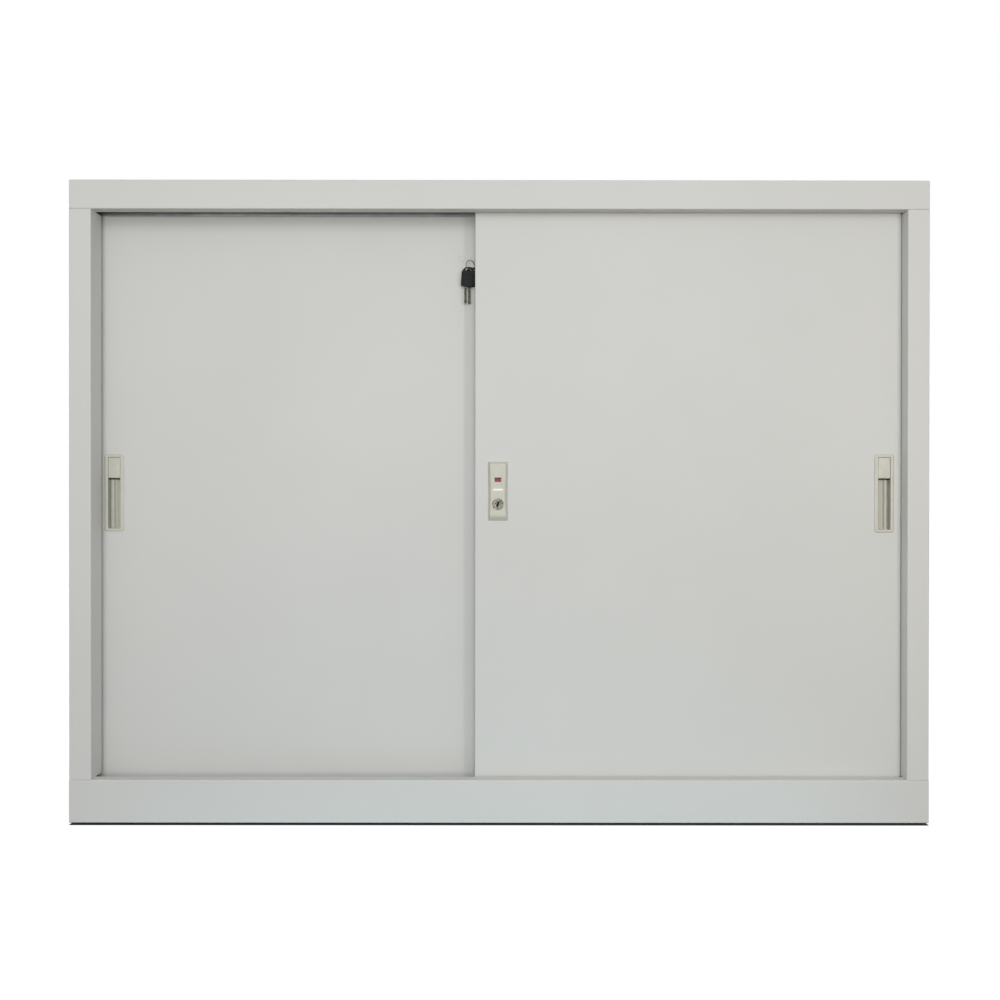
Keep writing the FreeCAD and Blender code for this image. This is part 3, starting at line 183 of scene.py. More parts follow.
def powder_coat(s):
    """Cured powder: soft lumps of orange peel, a fine speckle and slow changes of tone."""
    clouds = s.noise(COAT_CLOUD, 3.0)
    speck = s.noise(COAT_SPECK, 1.0)
    peel = s.noise(COAT_PEEL)
    mixed = clouds * 0.6 + speck * 0.4
    colour = mixed.between(0.3, 0.7).blend(scaled(COAT_COLOUR, 0.975), scaled(COAT_COLOUR, 1.02))
    return {
        "Base Color": colour,
        "Roughness": s.noise(0.06, 3.0) * 0.12 + 0.46,
        "Normal": s.bump(peel + speck * 0.25, 0.00003),
        "Specular IOR Level": 0.35,
    }


coat = material("powder_coat", powder_coat)
dress(coat, "side_panel_left", "side_panel_right", "top_panel", "sill_rail", "floor_panel", "back_panel")
dress(coat, "rear_rail", "floor_brace", "corner_gussets", "foot_plates")


# ---- shelves, uprights and feet ----
# Two folded shelves in the same coat hang on bent clips in four slotted strips.
# Strips, clips and the screw feet are zinc-plated steel with a thin blue passivation.
def zinc_plate(s):
    """Bright zinc: cloudy patches of the bath, faint blue and straw tints and fine draw lines."""
    clouds = s.noise(0.012, 3.0)
    tint = s.noise(0.035).between(0.35, 0.65).blend(tone(186, 190, 196), tone(194, 192, 182))
    lines = s.noise(0.0008, stretch=(1, 1, 0.04))
    return {
        "Base Color": tint,
        "Metallic": 1.0,
        "Roughness": clouds * 0.22 + lines * 0.08 + 0.20,
        "Normal": s.bump(lines, 0.000006),
    }


zinc = material("zinc_plate", zinc_plate)
dress(coat, "shelf_1", "shelf_2")
dress(zinc, "upright_front_left", "upright_front_right", "upright_rear_left", "upright_rear_right")
dress(zinc, "shelf_clips", "feet")


# ---- tracks ----
# The doors stand on two ridges of an extruded aluminium strip, screwed to the floor.
# A double aluminium channel guides their tops, and rubber blocks end their travel.
def mill_aluminium(s):
    """Extruded aluminium: die lines along its length, with a dull skin of oxide."""
    lines = s.noise(0.0006, 3.0, stretch=(0.01, 1, 1))
    skin = s.noise(0.02, 3.0)
    colour = skin.between(0.3, 0.7).blend(tone(186, 187, 188), tone(202, 203, 203))
    return {
        "Base Color": colour,
        "Metallic": 1.0,
        "Roughness": lines * 0.18 + skin * 0.08 + 0.22,
        "Normal": s.bump(lines, 0.000012),
    }


def moulded_rubber(s):
    """Matt black rubber with a fine mould texture and a little bloom."""
    grain = s.noise(0.0006)
    colour = s.noise(0.004).between(0.35, 0.7).blend(tone(36, 36, 37), tone(52, 52, 52))
    return {"Base Color": colour, "Roughness": grain * 0.2 + 0.68, "Normal": s.bump(grain, 0.00002)}


aluminium = material("mill_aluminium", mill_aluminium)
rubber = material("moulded_rubber", moulded_rubber)
dress(aluminium, "lower_track", "upper_track")
dress(rubber, "track_stops")
dress(zinc, "track_screws")


# ---- doors ----
# Each door is a shallow folded pan with two hat channels welded inside, in the carcass's coat.
# It runs on two grooved nylon rollers in steel housings, and two nylon shoes guide its top.
def natural_nylon(s):
    """Milky moulded nylon with soft flow clouds."""
    clouds = s.noise(0.003)
    colour = clouds.between(0.3, 0.7).blend(tone(214, 211, 200), tone(226, 224, 214))
    return {
        "Base Color": colour,
        "Roughness": clouds * 0.12 + 0.38,
        "Normal": s.bump(s.noise(0.0005), 0.000008),
        "Subsurface Weight": 0.15,
        "Subsurface Radius": (0.002, 0.0018, 0.0015),
    }


nylon = material("natural_nylon", natural_nylon)
for side in ("left", "right"):
    dress(coat, f"{side}_door_panel", f"{side}_door_stiffeners")
    dress(zinc, f"{side}_roller_brackets", f"{side}_roller_axles", f"{side}_handle_fixing")
    dress(nylon, f"{side}_roller_1", f"{side}_roller_2", f"{side}_top_guides")


# ---- recessed handles ----
# An injection-moulded cup in cream plastic is pushed through a slot in each door.
# A flat cap of the same plastic closes the top of its recess over the fixing screw.
def corners_of(node):
    """A node's lowest and highest corners at rest."""
    low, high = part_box(node)
    return np.array(low), np.array(high)


def steps(*stops):
    """Lines at every stop, with even steps between: each stop is followed by a count of steps."""
    runs = [np.linspace(a, b, n, endpoint=False) for a, n, b in zip(stops[::2], stops[1::2], stops[2::2])]
    return np.concatenate([*runs, stops[-1:]])


def smooth(value):
    """0 below 0, 1 above 1, and a smooth step between them."""
    value = np.clip(value, 0, 1)
    return value * value * (3 - 2 * value)


def lattice(points, loops=(False, False)):
    """Points and faces of a grid of points. A looped direction joins its end to its start."""
    rows, columns = points.shape[:2]
    index = np.arange(rows * columns).reshape(rows, columns)
    index = np.pad(index, ((0, int(loops[0])), (0, int(loops[1]))), mode="wrap")
    quads = np.stack([index[:-1, :-1], index[1:, :-1], index[1:, 1:], index[:-1, 1:]], axis=-1)
    return points.reshape(-1, 3), quads.reshape(-1, 4)


def grid(x, y, z):
    """Grid of points from coordinates that broadcast against each other."""
    return np.stack(np.broadcast_arrays(x, y, z), axis=-1)


CORNER_POINTS = 7


def outline(half, radius, x, z):
    """Points round a rectangle with rounded corners, anticlockwise from its right side.

    Each corner is a quarter circle. Along the sides the points lie at the same shares of the way
    as the lines x and z do, so that a grid on those lines meets the outline point for point."""
    half = np.array(half)
    across = ((x - x[0]) / (x[-1] - x[0]))[1:-1, None]
    up = ((z - z[0]) / (z[-1] - z[0]))[1:-1, None]
    signs = np.array([(1, 1), (-1, 1), (-1, -1), (1, -1)])
    shares = (1 - across[::-1], 1 - up[::-1], across, up)
    points = []
    for quarter, share in enumerate(shares):
        turn = np.linspace(0, math.pi / 2, CORNER_POINTS) + quarter * math.pi / 2
        round_unit = np.stack([np.cos(turn), np.sin(turn)], axis=-1)
        here = signs[quarter] * (half - radius)
        there = signs[(quarter + 1) % 4] * (half - radius)
        points.append(here + radius * round_unit)
        points.append(here + share * (there - here) + radius * round_unit[-1])
    return np.concatenate(points)


def rings(middle, rows, x, z):
    """Rings round a middle: each row gives half a width, half a height, a corner radius and a depth."""
    made = []
    for half_x, half_z, radius, y in rows:
        flat = outline((half_x, half_z), radius, x, z)
        made.append(grid(middle[0] + flat[:, 0], y, middle[2] + flat[:, 1]))
    return np.stack(made)


def closed(points):
    """A grid of rings whose first and last ring are drawn in to their middles."""
    first = np.broadcast_to(points[0].mean(axis=0), points[0].shape)
    last = np.broadcast_to(points[-1].mean(axis=0), points[-1].shape)
    return np.concatenate([first[None], points, last[None]])


SAME_POINT = 0.000001
SHARP_ANGLE = math.radians(38)


def piece(name, body, slot, finish, replaced, *surfaces):
    """One object of several surfaces that are joined where they meet.

    It rides on a body and stands in the place of a CAD node."""
    sizes = [len(points) for points, faces in surfaces]
    starts = np.cumsum([0] + sizes[:-1])
    points = np.concatenate([points for points, faces in surfaces])
    faces = np.concatenate([faces + start for (_, faces), start in zip(surfaces, starts)])
    mesh = bpy.data.meshes.new(name)
    mesh.from_pydata(points.tolist(), [], faces.tolist())
    work = bmesh.new()
    work.from_mesh(mesh)
    bmesh.ops.remove_doubles(work, verts=work.verts, dist=SAME_POINT)
    bmesh.ops.recalc_face_normals(work, faces=work.faces)
    work.to_mesh(mesh)
    work.free()
    mesh.polygons.foreach_set("use_smooth", np.ones(len(mesh.polygons), bool))
    mesh.set_sharp_from_angle(angle=SHARP_ANGLE)
    mesh.materials.append(finish)
    made = bpy.data.objects.new(name, mesh)
    bpy.context.scene.collection.objects.link(made)
    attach(made, body)
    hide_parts(replaced)
    return made


ABS_COLOUR = tone(194, 192, 178)
RECESS_SHADE_COLOUR = tone(52, 48, 38)
LEDGE_HIGHLIGHT_COLOUR = tone(248, 249, 244)


def cream_abs(s):
    """Moulded cream plastic: spark-eroded mould grain, flow clouds, painted shade where it lies deep.

    A painted highlight makes the lock's ledge nearly white."""
    grain = s.noise(0.0004)
    clouds = s.noise(0.01)
    colour = clouds.between(0.3, 0.7).blend(scaled(ABS_COLOUR, 0.97), scaled(ABS_COLOUR, 1.02))
    # Painted shade, read from a mark on the points, darkens the deep parts of a handle's recess.
    recess_shade = s.node("Attribute", {"attribute_name": "recess_shade"}, out="Fac")
    # A painted highlight, read from a mark on the points, makes the lock's ledge nearly white.
    ledge_highlight = s.node("Attribute", {"attribute_name": "ledge_highlight"}, out="Fac")
    return {
        "Base Color": ledge_highlight.blend(recess_shade.blend(colour, RECESS_SHADE_COLOUR), LEDGE_HIGHLIGHT_COLOUR),
        "Roughness": grain * 0.12 + 0.34,
        "Normal": s.bump(grain, 0.00001),
        "Specular IOR Level": 0.45,
    }


cream = material("cream_abs", cream_abs)

RIM_PROUD = 0.0016  # the rim stands this far out of the door's face
RIM_EDGE = 0.0022  # width of the rounded outer edge
RIM_CORNER = 0.0038
MOUTH_EDGE = 0.0006  # rounding where the rim turns into the recess
RECESS_WIDTH = 0.0174
RECESS_HEIGHT = 0.1006
CUP_WALL = 0.0014
WALL_DRAFT = 0.0003  # the walls of the recess lean out by this much
FLOOR_ROUND = 0.0009  # radius between the walls and the floor
GROOVE_WIDTH = 0.0034
GROOVE_DEPTH = 0.009
RIB_WIDTH = 0.0040
RIB_DEPTH = 0.0048
SHELF_DEPTH = 0.0074
RIB_EDGE = 0.0008
SHELF_EASE = 0.0026  # width of the slope from the rib to the shelf
COVER_HEIGHT = 0.0308
COVER_SLIT = 0.0008  # the deep slit starts this far under the cover's place
COVER_SHORT = 0.0012  # the cover ends this far above the end of its place
SLIT_DARK = 0.003  # the painted shade in the slit is full this deep
SHELF_SHADE = 0.20  # shares of the painted shade's colour
GROOVE_SHADE = 0.26
COVER_GAP = 0.0003
COVER_EDGE = 0.0005


def handle_depth(x, z, outer, split):
    """Depth of the recess below the door's face.

    A floor of three levels (groove, rib, shelf) with smooth steps between them, deep again in the
    slit under the cover. It comes up in a quarter circle along the walls, which lean out a little."""
    across = outer * x
    groove_edge = RECESS_WIDTH / 2 - GROOVE_WIDTH
    rib_edge = groove_edge - RIB_WIDTH
    floor = GROOVE_DEPTH + (RIB_DEPTH - GROOVE_DEPTH) * smooth((groove_edge - across) / RIB_EDGE + 0.5)
    floor = floor + (SHELF_DEPTH - RIB_DEPTH) * smooth((rib_edge - across) / SHELF_EASE + 0.5)
    slit = smooth((z - split + COVER_SLIT) / WALL_DRAFT)
    floor = floor + (GROOVE_DEPTH - floor) * slit
    from_wall = np.minimum(RECESS_WIDTH / 2 - abs(x), RECESS_HEIGHT / 2 - abs(z))
    rise = 1 - np.clip((from_wall - WALL_DRAFT) / FLOOR_ROUND, 0, 1)
    fillet = FLOOR_ROUND * (1 - np.sqrt(1 - rise**2))
    share = np.clip(from_wall / WALL_DRAFT, 0, 1)
    return share * (floor - fillet)


def points_of(mesh):
    """A mesh's points as rows of three coordinates."""
    points = np.empty(3 * len(mesh.vertices))
    mesh.vertices.foreach_get("co", points)
    return points.reshape(-1, 3)


def mark(mesh, name, amounts):
    """A value for each point of a mesh, which its material reads by name."""
    layer = mesh.attributes.new(name, "FLOAT", "POINT")
    layer.data.foreach_set("value", amounts)


def paint_recess_shade(mesh, middle, face, split):
    """Painted shade in the recess: full in the slit under the cover, some on the shelf, more in the
    groove.
    """
    x, y, z = (points_of(mesh) - middle).T
    depth = y + middle[1] - face
    inside = (abs(x) < RECESS_WIDTH / 2) & (abs(z) < RECESS_HEIGHT / 2)
    inside = inside & (depth < GROOVE_DEPTH + WALL_DRAFT)
    slit = smooth((z - split + COVER_SLIT) / WALL_DRAFT) * smooth(depth / SLIT_DARK)
    past_shelf = smooth((depth - SHELF_DEPTH) / (GROOVE_DEPTH - SHELF_DEPTH))
    floor = SHELF_SHADE * smooth(depth / SHELF_DEPTH) + (GROOVE_SHADE - SHELF_SHADE) * past_shelf
    mark(mesh, "recess_shade", inside * np.maximum(slit, floor))


def handle_cup(side, outer):
    """Rings carry the rim's profile round its outline, and two grids close the recess and the back.

    The profile is a quarter ellipse, a flat and a small quarter circle at the mouth."""
    low, high = corners_of(f"{side}_handle_cup")
    middle = (low + high) / 2
    half = (high - low) / 2
    face = low[1] + RIM_PROUD
    wide, tall = RECESS_WIDTH / 2, RECESS_HEIGHT / 2
    split = tall - COVER_HEIGHT
    groove = wide - GROOVE_WIDTH
    rib = groove - RIB_WIDTH
    near = FLOOR_ROUND + WALL_DRAFT
    ease = SHELF_EASE / 2
    x = steps(-wide, 2, WALL_DRAFT - wide, 5, near - wide, 8, rib - ease, 12, rib + ease, 3,
              groove - RIB_EDGE, 10, groove + RIB_EDGE, 4, wide - near, 5, wide - WALL_DRAFT, 2, wide)
    x = x if outer > 0 else -x[::-1]
    slit = split - COVER_SLIT
    z = steps(-tall, 2, WALL_DRAFT - tall, 5, near - tall, 16, slit - COVER_SLIT, 3, slit, 4,
              slit + WALL_DRAFT, 2, split, 4, tall - near, 5, tall - WALL_DRAFT, 2, tall)
    turn = np.linspace(0, math.pi / 2, 9)
    rim_width = half[0] - wide
    inset = np.concatenate([RIM_EDGE * (1 - np.cos(turn)), rim_width - MOUTH_EDGE * (1 - np.sin(turn))])
    rise = np.concatenate([-RIM_PROUD * np.sin(turn), MOUTH_EDGE * (1 - np.cos(turn)) - RIM_PROUD])
    share = inset / rim_width
    outer_rows = np.stack([
        half[0] - inset,
        half[2] - share * (half[2] - tall),
        RIM_CORNER * (1 - share),
        face + rise,
    ], axis=-1)
    back = face + GROOVE_DEPTH + CUP_WALL
    inner_rows = [
        (wide, tall, 0, back),
        (wide + CUP_WALL, tall + CUP_WALL, CUP_WALL, back),
        (wide + CUP_WALL, tall + CUP_WALL, CUP_WALL, face),
    ]
    rim = rings(middle, [*inner_rows, *outer_rows], x, z)
    across, up = x[None, :], z[:, None]
    mouth = face + rise[-1]
    depth = handle_depth(across, up, outer, split) * (face + GROOVE_DEPTH - mouth) / GROOVE_DEPTH
    recess = grid(middle[0] + across, mouth + depth, middle[2] + up)
    bottom = grid(middle[0] + across, back, middle[2] + up)
    made = piece(
        f"{side}_handle_recess", f"{side}_door", "cream_plastic", cream, f"{side}_handle_cup",
        lattice(rim, (False, True)), lattice(recess), lattice(bottom),
    )
    paint_recess_shade(made.data, middle, face, split)


def handle_cover(side):
    """A box with edges rounded in quarter circles, as rings from the middle of its front to its back."""
    low, high = corners_of(f"{side}_handle_cover")
    low[2] += COVER_SHORT
    middle = (low + high) / 2
    half = (high - low) / 2 - COVER_GAP / 2
    turn = np.linspace(0, math.pi / 2, 6)
    inset = COVER_EDGE * (1 - np.sin(turn))
    front = low[1] + COVER_EDGE * (1 - np.cos(turn))
    rows = [(half[0] - i, half[2] - i, COVER_EDGE, y) for i, y in zip(inset, front)]
    rows.append((half[0], half[2], COVER_EDGE, high[1]))
    x = np.linspace(-half[0], half[0], 6)
    z = np.linspace(-half[2], half[2], 8)
    shell = lattice(closed(rings(middle, rows, x, z)), (False, True))
    piece(f"{side}_handle_cap", f"{side}_door", "cream_plastic", cream, f"{side}_handle_cover", shell)


handle_cup("left", -1)
handle_cup("right", 1)
handle_cover("left")
handle_cover("right")


# ---- lock housing ----
# The lock's housing is moulded in the handles' plastic and clipped through the front door.
# Its front has bevelled sides and a ramp that sinks to a ledge with a painted highlight, with the
# indicator's window.
LOCK_BASE = 0.0005  # upright edge at the foot of the bevels
LOCK_SIDE = 0.003
LOCK_TOP = 0.0034
LOCK_BOTTOM = 0.0056
LOCK_WAIST = 0.0009  # the bevels' upper edges draw in this much at mid height
FOOT_WAIST = 0.0003  # and their feet this much
LOCK_SOFT = 0.07  # rounding of the bevels' upper edge, as a share of their height
LOCK_SHELL = 0.0013
RAMP_WIDTH = 0.0132
RAMP_TOP = 0.0362  # this and the next two are heights above the middle of the housing
RAMP_DEEPEST = 0.0034
RAMP_FOOT = 0.0010
RAMP_DEPTH = 0.0014
RAMP_WALL = 0.0002
PLUG_HOLE = 0.0042  # cells nearer the plug's axis than this are left out
BODY_BEHIND = (0.011, 0.036, 0.001)  # half width, half height and corner of the body in the door


def slab(front, back, keep):
    """Closed solid between two grids of points, with walls round its border and round each hole.

    keep says which cells of the grid there are."""
    rows, columns = front.shape[:2]
    count = rows * columns
    index = np.arange(count).reshape(rows, columns)
    corners = (index[:-1, :-1], index[1:, :-1], index[1:, 1:], index[:-1, 1:])
    over = np.stack([corner[keep] for corner in corners], axis=-1)
    walls = []
    for cells, places in ((np.pad(keep, 1), index), (np.pad(keep, 1).T, index.T)):
        row, column = np.nonzero(cells[1:, 1:-1] != cells[:-1, 1:-1])
        start, end = places[row, column], places[row, column + 1]
        walls.append(np.stack([start, end, end + count, start + count], axis=-1))
    points = np.concatenate([front.reshape(-1, 3), back.reshape(-1, 3)])
    return points, np.concatenate([over, over + count, *walls])


def between_anchors(anchors, counts):
    """Lines that run through anchor lines, with a count of even steps between each pair."""
    place = steps(*np.stack([np.arange(len(counts)), counts], axis=-1).ravel().tolist(), len(counts))
    whole = np.minimum(place.astype(int), len(counts) - 1)
    part = place - whole
    return anchors[:, whole] * (1 - part) + anchors[:, whole + 1] * part


def paint_ledge_highlight(mesh, middle):
    """A painted highlight makes the ledge nearly white between the ramp's walls."""
    from_ledge = points_of(mesh) - middle - (0, 0, (RAMP_FOOT + RAMP_DEEPEST) / 2)
    across, _, up = abs(from_ledge).T
    on_ledge = (across < RAMP_WIDTH / 2) & (up < (RAMP_DEEPEST - RAMP_FOOT) / 2 - RAMP_WALL)
    mark(mesh, "ledge_highlight", on_ledge.astype(float))


def lock_front():
    """Height of the front over the door as a formula on a grid whose lines follow its edges.

    Each bevel rises evenly to a soft edge, which is the root of a square plus a constant. The ramp
    sinks in a straight line from its top, and the short ledge at its end comes back out more steeply."""
    low, high = corners_of("lock_housing")
    middle = (low + high) / 2
    half = (high - low) / 2
    pane_low, pane_high = corners_of("lock_window")
    face = corners_of("right_door_panel")[0][1]
    pane = (pane_high - pane_low) / 2
    pane_z = (pane_low + pane_high)[2] / 2 - middle[2]
    tall = half[2]
    z = steps(-tall, 10, LOCK_BOTTOM - tall, 12, RAMP_FOOT, 8, RAMP_DEEPEST, 4, pane_z - pane[2], 4,
              pane_z + pane[2], 8, RAMP_TOP, 1, tall - LOCK_TOP, 8, tall)[:, None]
    bow = np.cos(z / tall * math.pi / 2) ** 2
    level = np.ones_like(z)
    ramp = RAMP_WIDTH / 2
    anchors = np.concatenate([
        0 * level, pane[0] * level, (ramp - RAMP_WALL) * level, ramp * level,
        half[0] - LOCK_SIDE - LOCK_WAIST * bow, half[0] - FOOT_WAIST * bow,
    ], axis=1)
    right = between_anchors(anchors, [4, 2, 2, 4, 10])
    x = np.concatenate([-right[:, :0:-1], right], axis=1)
    edge, plateau = anchors[:, 5:], anchors[:, 4:5]
    side = (edge - abs(x)) / (edge - plateau)
    end = np.minimum((tall - z) / LOCK_TOP, (tall + z) / LOCK_BOTTOM)
    short = 1 - np.minimum(side, end)
    rise = 1 - (short + np.sqrt(short**2 + LOCK_SOFT**2)) / 2
    proud = LOCK_BASE + (face - low[1] - LOCK_BASE) * np.clip(rise, 0, 1)
    slope = (RAMP_TOP - z) / (RAMP_TOP - RAMP_DEEPEST)
    ledge = (z - RAMP_FOOT) / (RAMP_DEEPEST - RAMP_FOOT)
    sunk = np.clip(np.minimum(slope, ledge), 0, 1) * np.clip((ramp - abs(x)) / RAMP_WALL, 0, 1)
    y = face - proud + RAMP_DEPTH * sunk
    centre_x = (x[:-1, :-1] + x[1:, 1:]) / 2
    centre_z = (z[:-1] + z[1:]) / 2
    hole = (abs(centre_x) < pane[0]) & (abs(centre_z - pane_z) < pane[2])
    plug_low, plug_high = corners_of("lock_plug")
    plug_z = (plug_low + plug_high)[2] / 2 - middle[2]
    hole = hole | (np.hypot(centre_x, centre_z - plug_z) < PLUG_HOLE)
    front = grid(middle[0] + x, y, middle[2] + z)
    behind = grid(middle[0] + x, np.minimum(y + LOCK_SHELL, face), middle[2] + z)
    lines = np.linspace(-1, 1, 5)
    body = closed(rings(middle, [(*BODY_BEHIND, face), (*BODY_BEHIND, high[1])], lines, lines))
    made = piece(
        "lock_escutcheon", "right_door", "cream_plastic", cream, "lock_housing",
        slab(front, behind, ~hole), lattice(body, (False, True)),
    )
    paint_ledge_highlight(made.data, middle)


lock_front()


# ---- indicator ----
# A moulded flag slides behind a clear pane: its red half shows while the doors are locked.
# The plug's crank pin draws it down, and then its white half shows.
FLAG_RED = tone(154, 42, 44)
FLAG_PAINTED_SHADOW = tone(88, 26, 26)  # painted shadow on the strip close under the window's upper edge
FLAG_WHITE = tone(222, 222, 216)
FLAG_LINE = (0.0002, 0.0004)  # red turns to white this far above the window, at rest
FLAG_SHADOW_SPAN = (0.0028, 0.0016)  # the painted shadow begins and is full this far under the window's upper edge
window_top = corners_of("lock_window")[1][2]


def flag_plastic(s):
    """Two-colour moulded plastic, half matt, with a crisp line between the colours and a painted shadow
    under the window's edge.
    """
    clouds = s.noise(0.003)
    upper = s.along(2).between(window_top + FLAG_LINE[0], window_top + FLAG_LINE[1])
    red = clouds.between(0.3, 0.7).blend(scaled(FLAG_RED, 0.94), scaled(FLAG_RED, 1.04))
    # A painted shadow darkens the red just under the window's upper edge.
    painted_shadow = s.along(2).between(window_top - FLAG_SHADOW_SPAN[0], window_top - FLAG_SHADOW_SPAN[1])
    red = painted_shadow.blend(red, FLAG_PAINTED_SHADOW)
    return {
        "Base Color": upper.blend(red, FLAG_WHITE),
        "Roughness": clouds * 0.1 + 0.45,
        "Specular IOR Level": 0.1,
    }


def clear_acrylic(s):
    """Clear pane with hair scratches."""
    scratches = s.noise(0.0003, stretch=(1, 1, 0.1))
    return {
        "Base Color": (1, 1, 1, 1),
        "Roughness": scratches * 0.10 + 0.05,
        "Alpha": scratches * 0.02 + 0.02,
        "IOR": 1.49,
    }


dress(material("flag_plastic", flag_plastic), "lock_indicator")
dress(material("clear_acrylic", clear_acrylic), "lock_window")


# ---- lock cylinder and cam ----
# A die-cast nickel-plated sleeve holds the turning plug, whose key slot is curved by its wards.
# Behind the door a steel hook on the plug's tail closes round a stud on the rear door.
lock_low, lock_high = corners_of("lock_cylinder")
LOCK_AXIS = (lock_low + lock_high) / 2
plug_front = corners_of("lock_plug")[0][1]
PLUG_RADIUS = 0.00545
PLUG_PROUD = 0.0004
BORE_GAP = 0.00005
SLEEVE_EDGE = 0.0006
SLEEVE_RING = 0.0009
SLEEVE_DISH = 0.0003
SLOT_HALF = (0.0015, 0.0042, 0.0010)  # half width, half height and corner
SLOT_SWAY = 0.0006
SLOT_EDGE = 0.0002
SLOT_NARROW = 0.97  # behind its edge the slot is this much of its size at the face
SLOT_DEPTH = 0.0035
TAIL_RADIUS = 0.002
TAIL_EDGE = 0.0002
ROUND_POINTS = 96
EDGE_POINTS = 6
TURNING_RATE = 22000  # radians per metre
SLOT_SHADE = tone(24, 23, 21)  # painted shade down the key slot
SLOT_SHADE_BEHIND = (0.0001, 0.0003)  # the painted shade begins and is full this far behind the plug's face
SLOT_SHADE_WITHIN = (0.0008, 0.0006)  # it is full and ends this far inside the plug's edge


def lock_metal(s):
    """Dull nickel: turning rings about the lock's axis, spots and scuffs, and painted shade down the slot.
    """
    around = s.off_axis(LOCK_AXIS.tolist())
    turning = s.math("SINE", around * TURNING_RATE)
    spots = s.noise(0.0015, 3.0)
    colour = spots.between(0.38, 0.62).blend(tone(50, 48, 41), tone(146, 143, 131))
    # Painted shade down the key slot: dark and not metallic.
    behind = s.along(1).between(plug_front + SLOT_SHADE_BEHIND[0], plug_front + SLOT_SHADE_BEHIND[1])
    slot_shade = behind * (1 - around.between(PLUG_RADIUS - SLOT_SHADE_WITHIN[0], PLUG_RADIUS - SLOT_SHADE_WITHIN[1]))
    return {
        "Base Color": slot_shade.blend(colour, SLOT_SHADE),
        "Metallic": 1 - slot_shade,
        "Roughness": spots * 0.25 + 0.32,
        "Normal": s.bump(turning * 0.5 + spots, 0.000012),
        "Specular IOR Level": 0.1,
    }


nickel = material("lock_metal", lock_metal)


def turned(profile):
    """A profile of radius and depth, turned about the lock's axis."""
    radius, depth = np.array(profile)[:, :, None].transpose(1, 0, 2)
    angle = np.linspace(0, 2 * math.pi, ROUND_POINTS, endpoint=False)[None, :]
    return grid(LOCK_AXIS[0] + radius * np.cos(angle), depth, LOCK_AXIS[2] + radius * np.sin(angle))


def quarter_edge(radius, depth, size):
    """A quarter circle from the side of a round piece to its front face."""
    turn = np.linspace(0, math.pi / 2, EDGE_POINTS)
    return list(zip(radius - size * (1 - np.cos(turn)), depth + size * (1 - np.sin(turn))))


def sleeve():
    """The sleeve's profile goes up its side, over a rounded edge and a shallow dish, and down its bore."""
    radius = (lock_high[0] - lock_low[0]) / 2
    front, back = lock_low[1], lock_high[1]
    bore = PLUG_RADIUS + BORE_GAP
    rim = radius - SLEEVE_EDGE
    dish = front + SLEEVE_DISH
    profile = [(radius, back), *quarter_edge(radius, front, SLEEVE_EDGE)]
    profile += [(rim - SLEEVE_RING / 2, front), (rim - SLEEVE_RING, dish)]
    profile += [(bore + SLEEVE_RING / 2, dish), (bore, front + SLEEVE_DISH / 2), (bore, back)]
    surface = lattice(turned(profile), (True, True))
    piece("lock_sleeve", "right_door", "lock_metal", nickel, "lock_cylinder", surface)


def plug():
    """Rings run in over the plug's face, change evenly from a circle to the slot, and down its walls.

    The slot is a rounded rectangle whose middle line sways like a sine wave."""
    tail_end = corners_of("lock_plug")[1][1]
    back = lock_high[1]
    lines = np.linspace(-1, 1, 15)
    slot = outline(SLOT_HALF[:2], SLOT_HALF[2], lines, lines)
    slot[:, 0] += SLOT_SWAY * np.sin(slot[:, 1] / SLOT_HALF[1] * math.pi)
    length = np.concatenate([[0], np.cumsum(np.hypot(*np.diff(slot, axis=0).T))])
    whole = length[-1] + length[1]  # the step back to the start is as long as the first
    angle = length / whole * 2 * math.pi + math.atan2(slot[0, 1], slot[0, 0])
    circle = np.stack([np.cos(angle), np.sin(angle)], axis=-1)
    side = [(PLUG_RADIUS, back), *quarter_edge(PLUG_RADIUS, plug_front, PLUG_PROUD)]
    rows = [(circle * radius, y) for radius, y in side]
    flat = circle * (PLUG_RADIUS - PLUG_PROUD)
    for share in np.linspace(0, 1, 6)[1:]:
        rows.append((flat * (1 - share) + slot * share, plug_front))
    rows.append((slot * SLOT_NARROW, plug_front + SLOT_EDGE))
    rows.append((slot * SLOT_NARROW, plug_front + SLOT_DEPTH))
    points = np.stack([grid(LOCK_AXIS[0] + p[:, 0], y, LOCK_AXIS[2] + p[:, 1]) for p, y in rows])
    tail = [(TAIL_RADIUS, back), (TAIL_RADIUS, tail_end - TAIL_EDGE), (TAIL_RADIUS - TAIL_EDGE, tail_end)]
    piece(
        "lock_keyhole_plug", "lock_plug", "lock_metal", nickel, "lock_plug",
        lattice(closed(points), (False, True)), lattice(closed(turned(tail)), (False, True)),
    )


sleeve()
plug()
dress(zinc, "lock_striker", "lock_cam", "lock_cam_nut")


# ---- keys ----
# Two spare keys hang on a wire ring that a clear strip holds to the rear door.
# Their heads are moulded black round nickel-silver blades, cut on both edges.
def black_plastic(s):
    """Black moulding with fine grain, half matt from handling, with rubbed patches."""
    grain = s.noise(0.0005)
    rub = s.noise(0.004, 3.0)
    colour = rub.between(0.4, 0.7).blend(tone(15, 17, 16), tone(28, 30, 29))
    return {
        "Base Color": colour,
        "Roughness": rub * 0.2 + 0.42,
        "Normal": s.bump(grain, 0.000008),
        "Specular IOR Level": 0.15,
    }


def nickel_silver(s):
    """Milled nickel silver: cutter lines across the blade and dull handling marks."""
    lines = s.noise(0.0004, stretch=(0.1, 1, 1))
    marks = s.noise(0.002, 3.0)
    colour = marks.between(0.35, 0.65).blend(tone(38, 37, 28), tone(72, 70, 57))
    return {
        "Base Color": colour,
        "Metallic": 1.0,
        "Roughness": marks * 0.2 + 0.30,
        "Normal": s.bump(lines, 0.00001),
    }


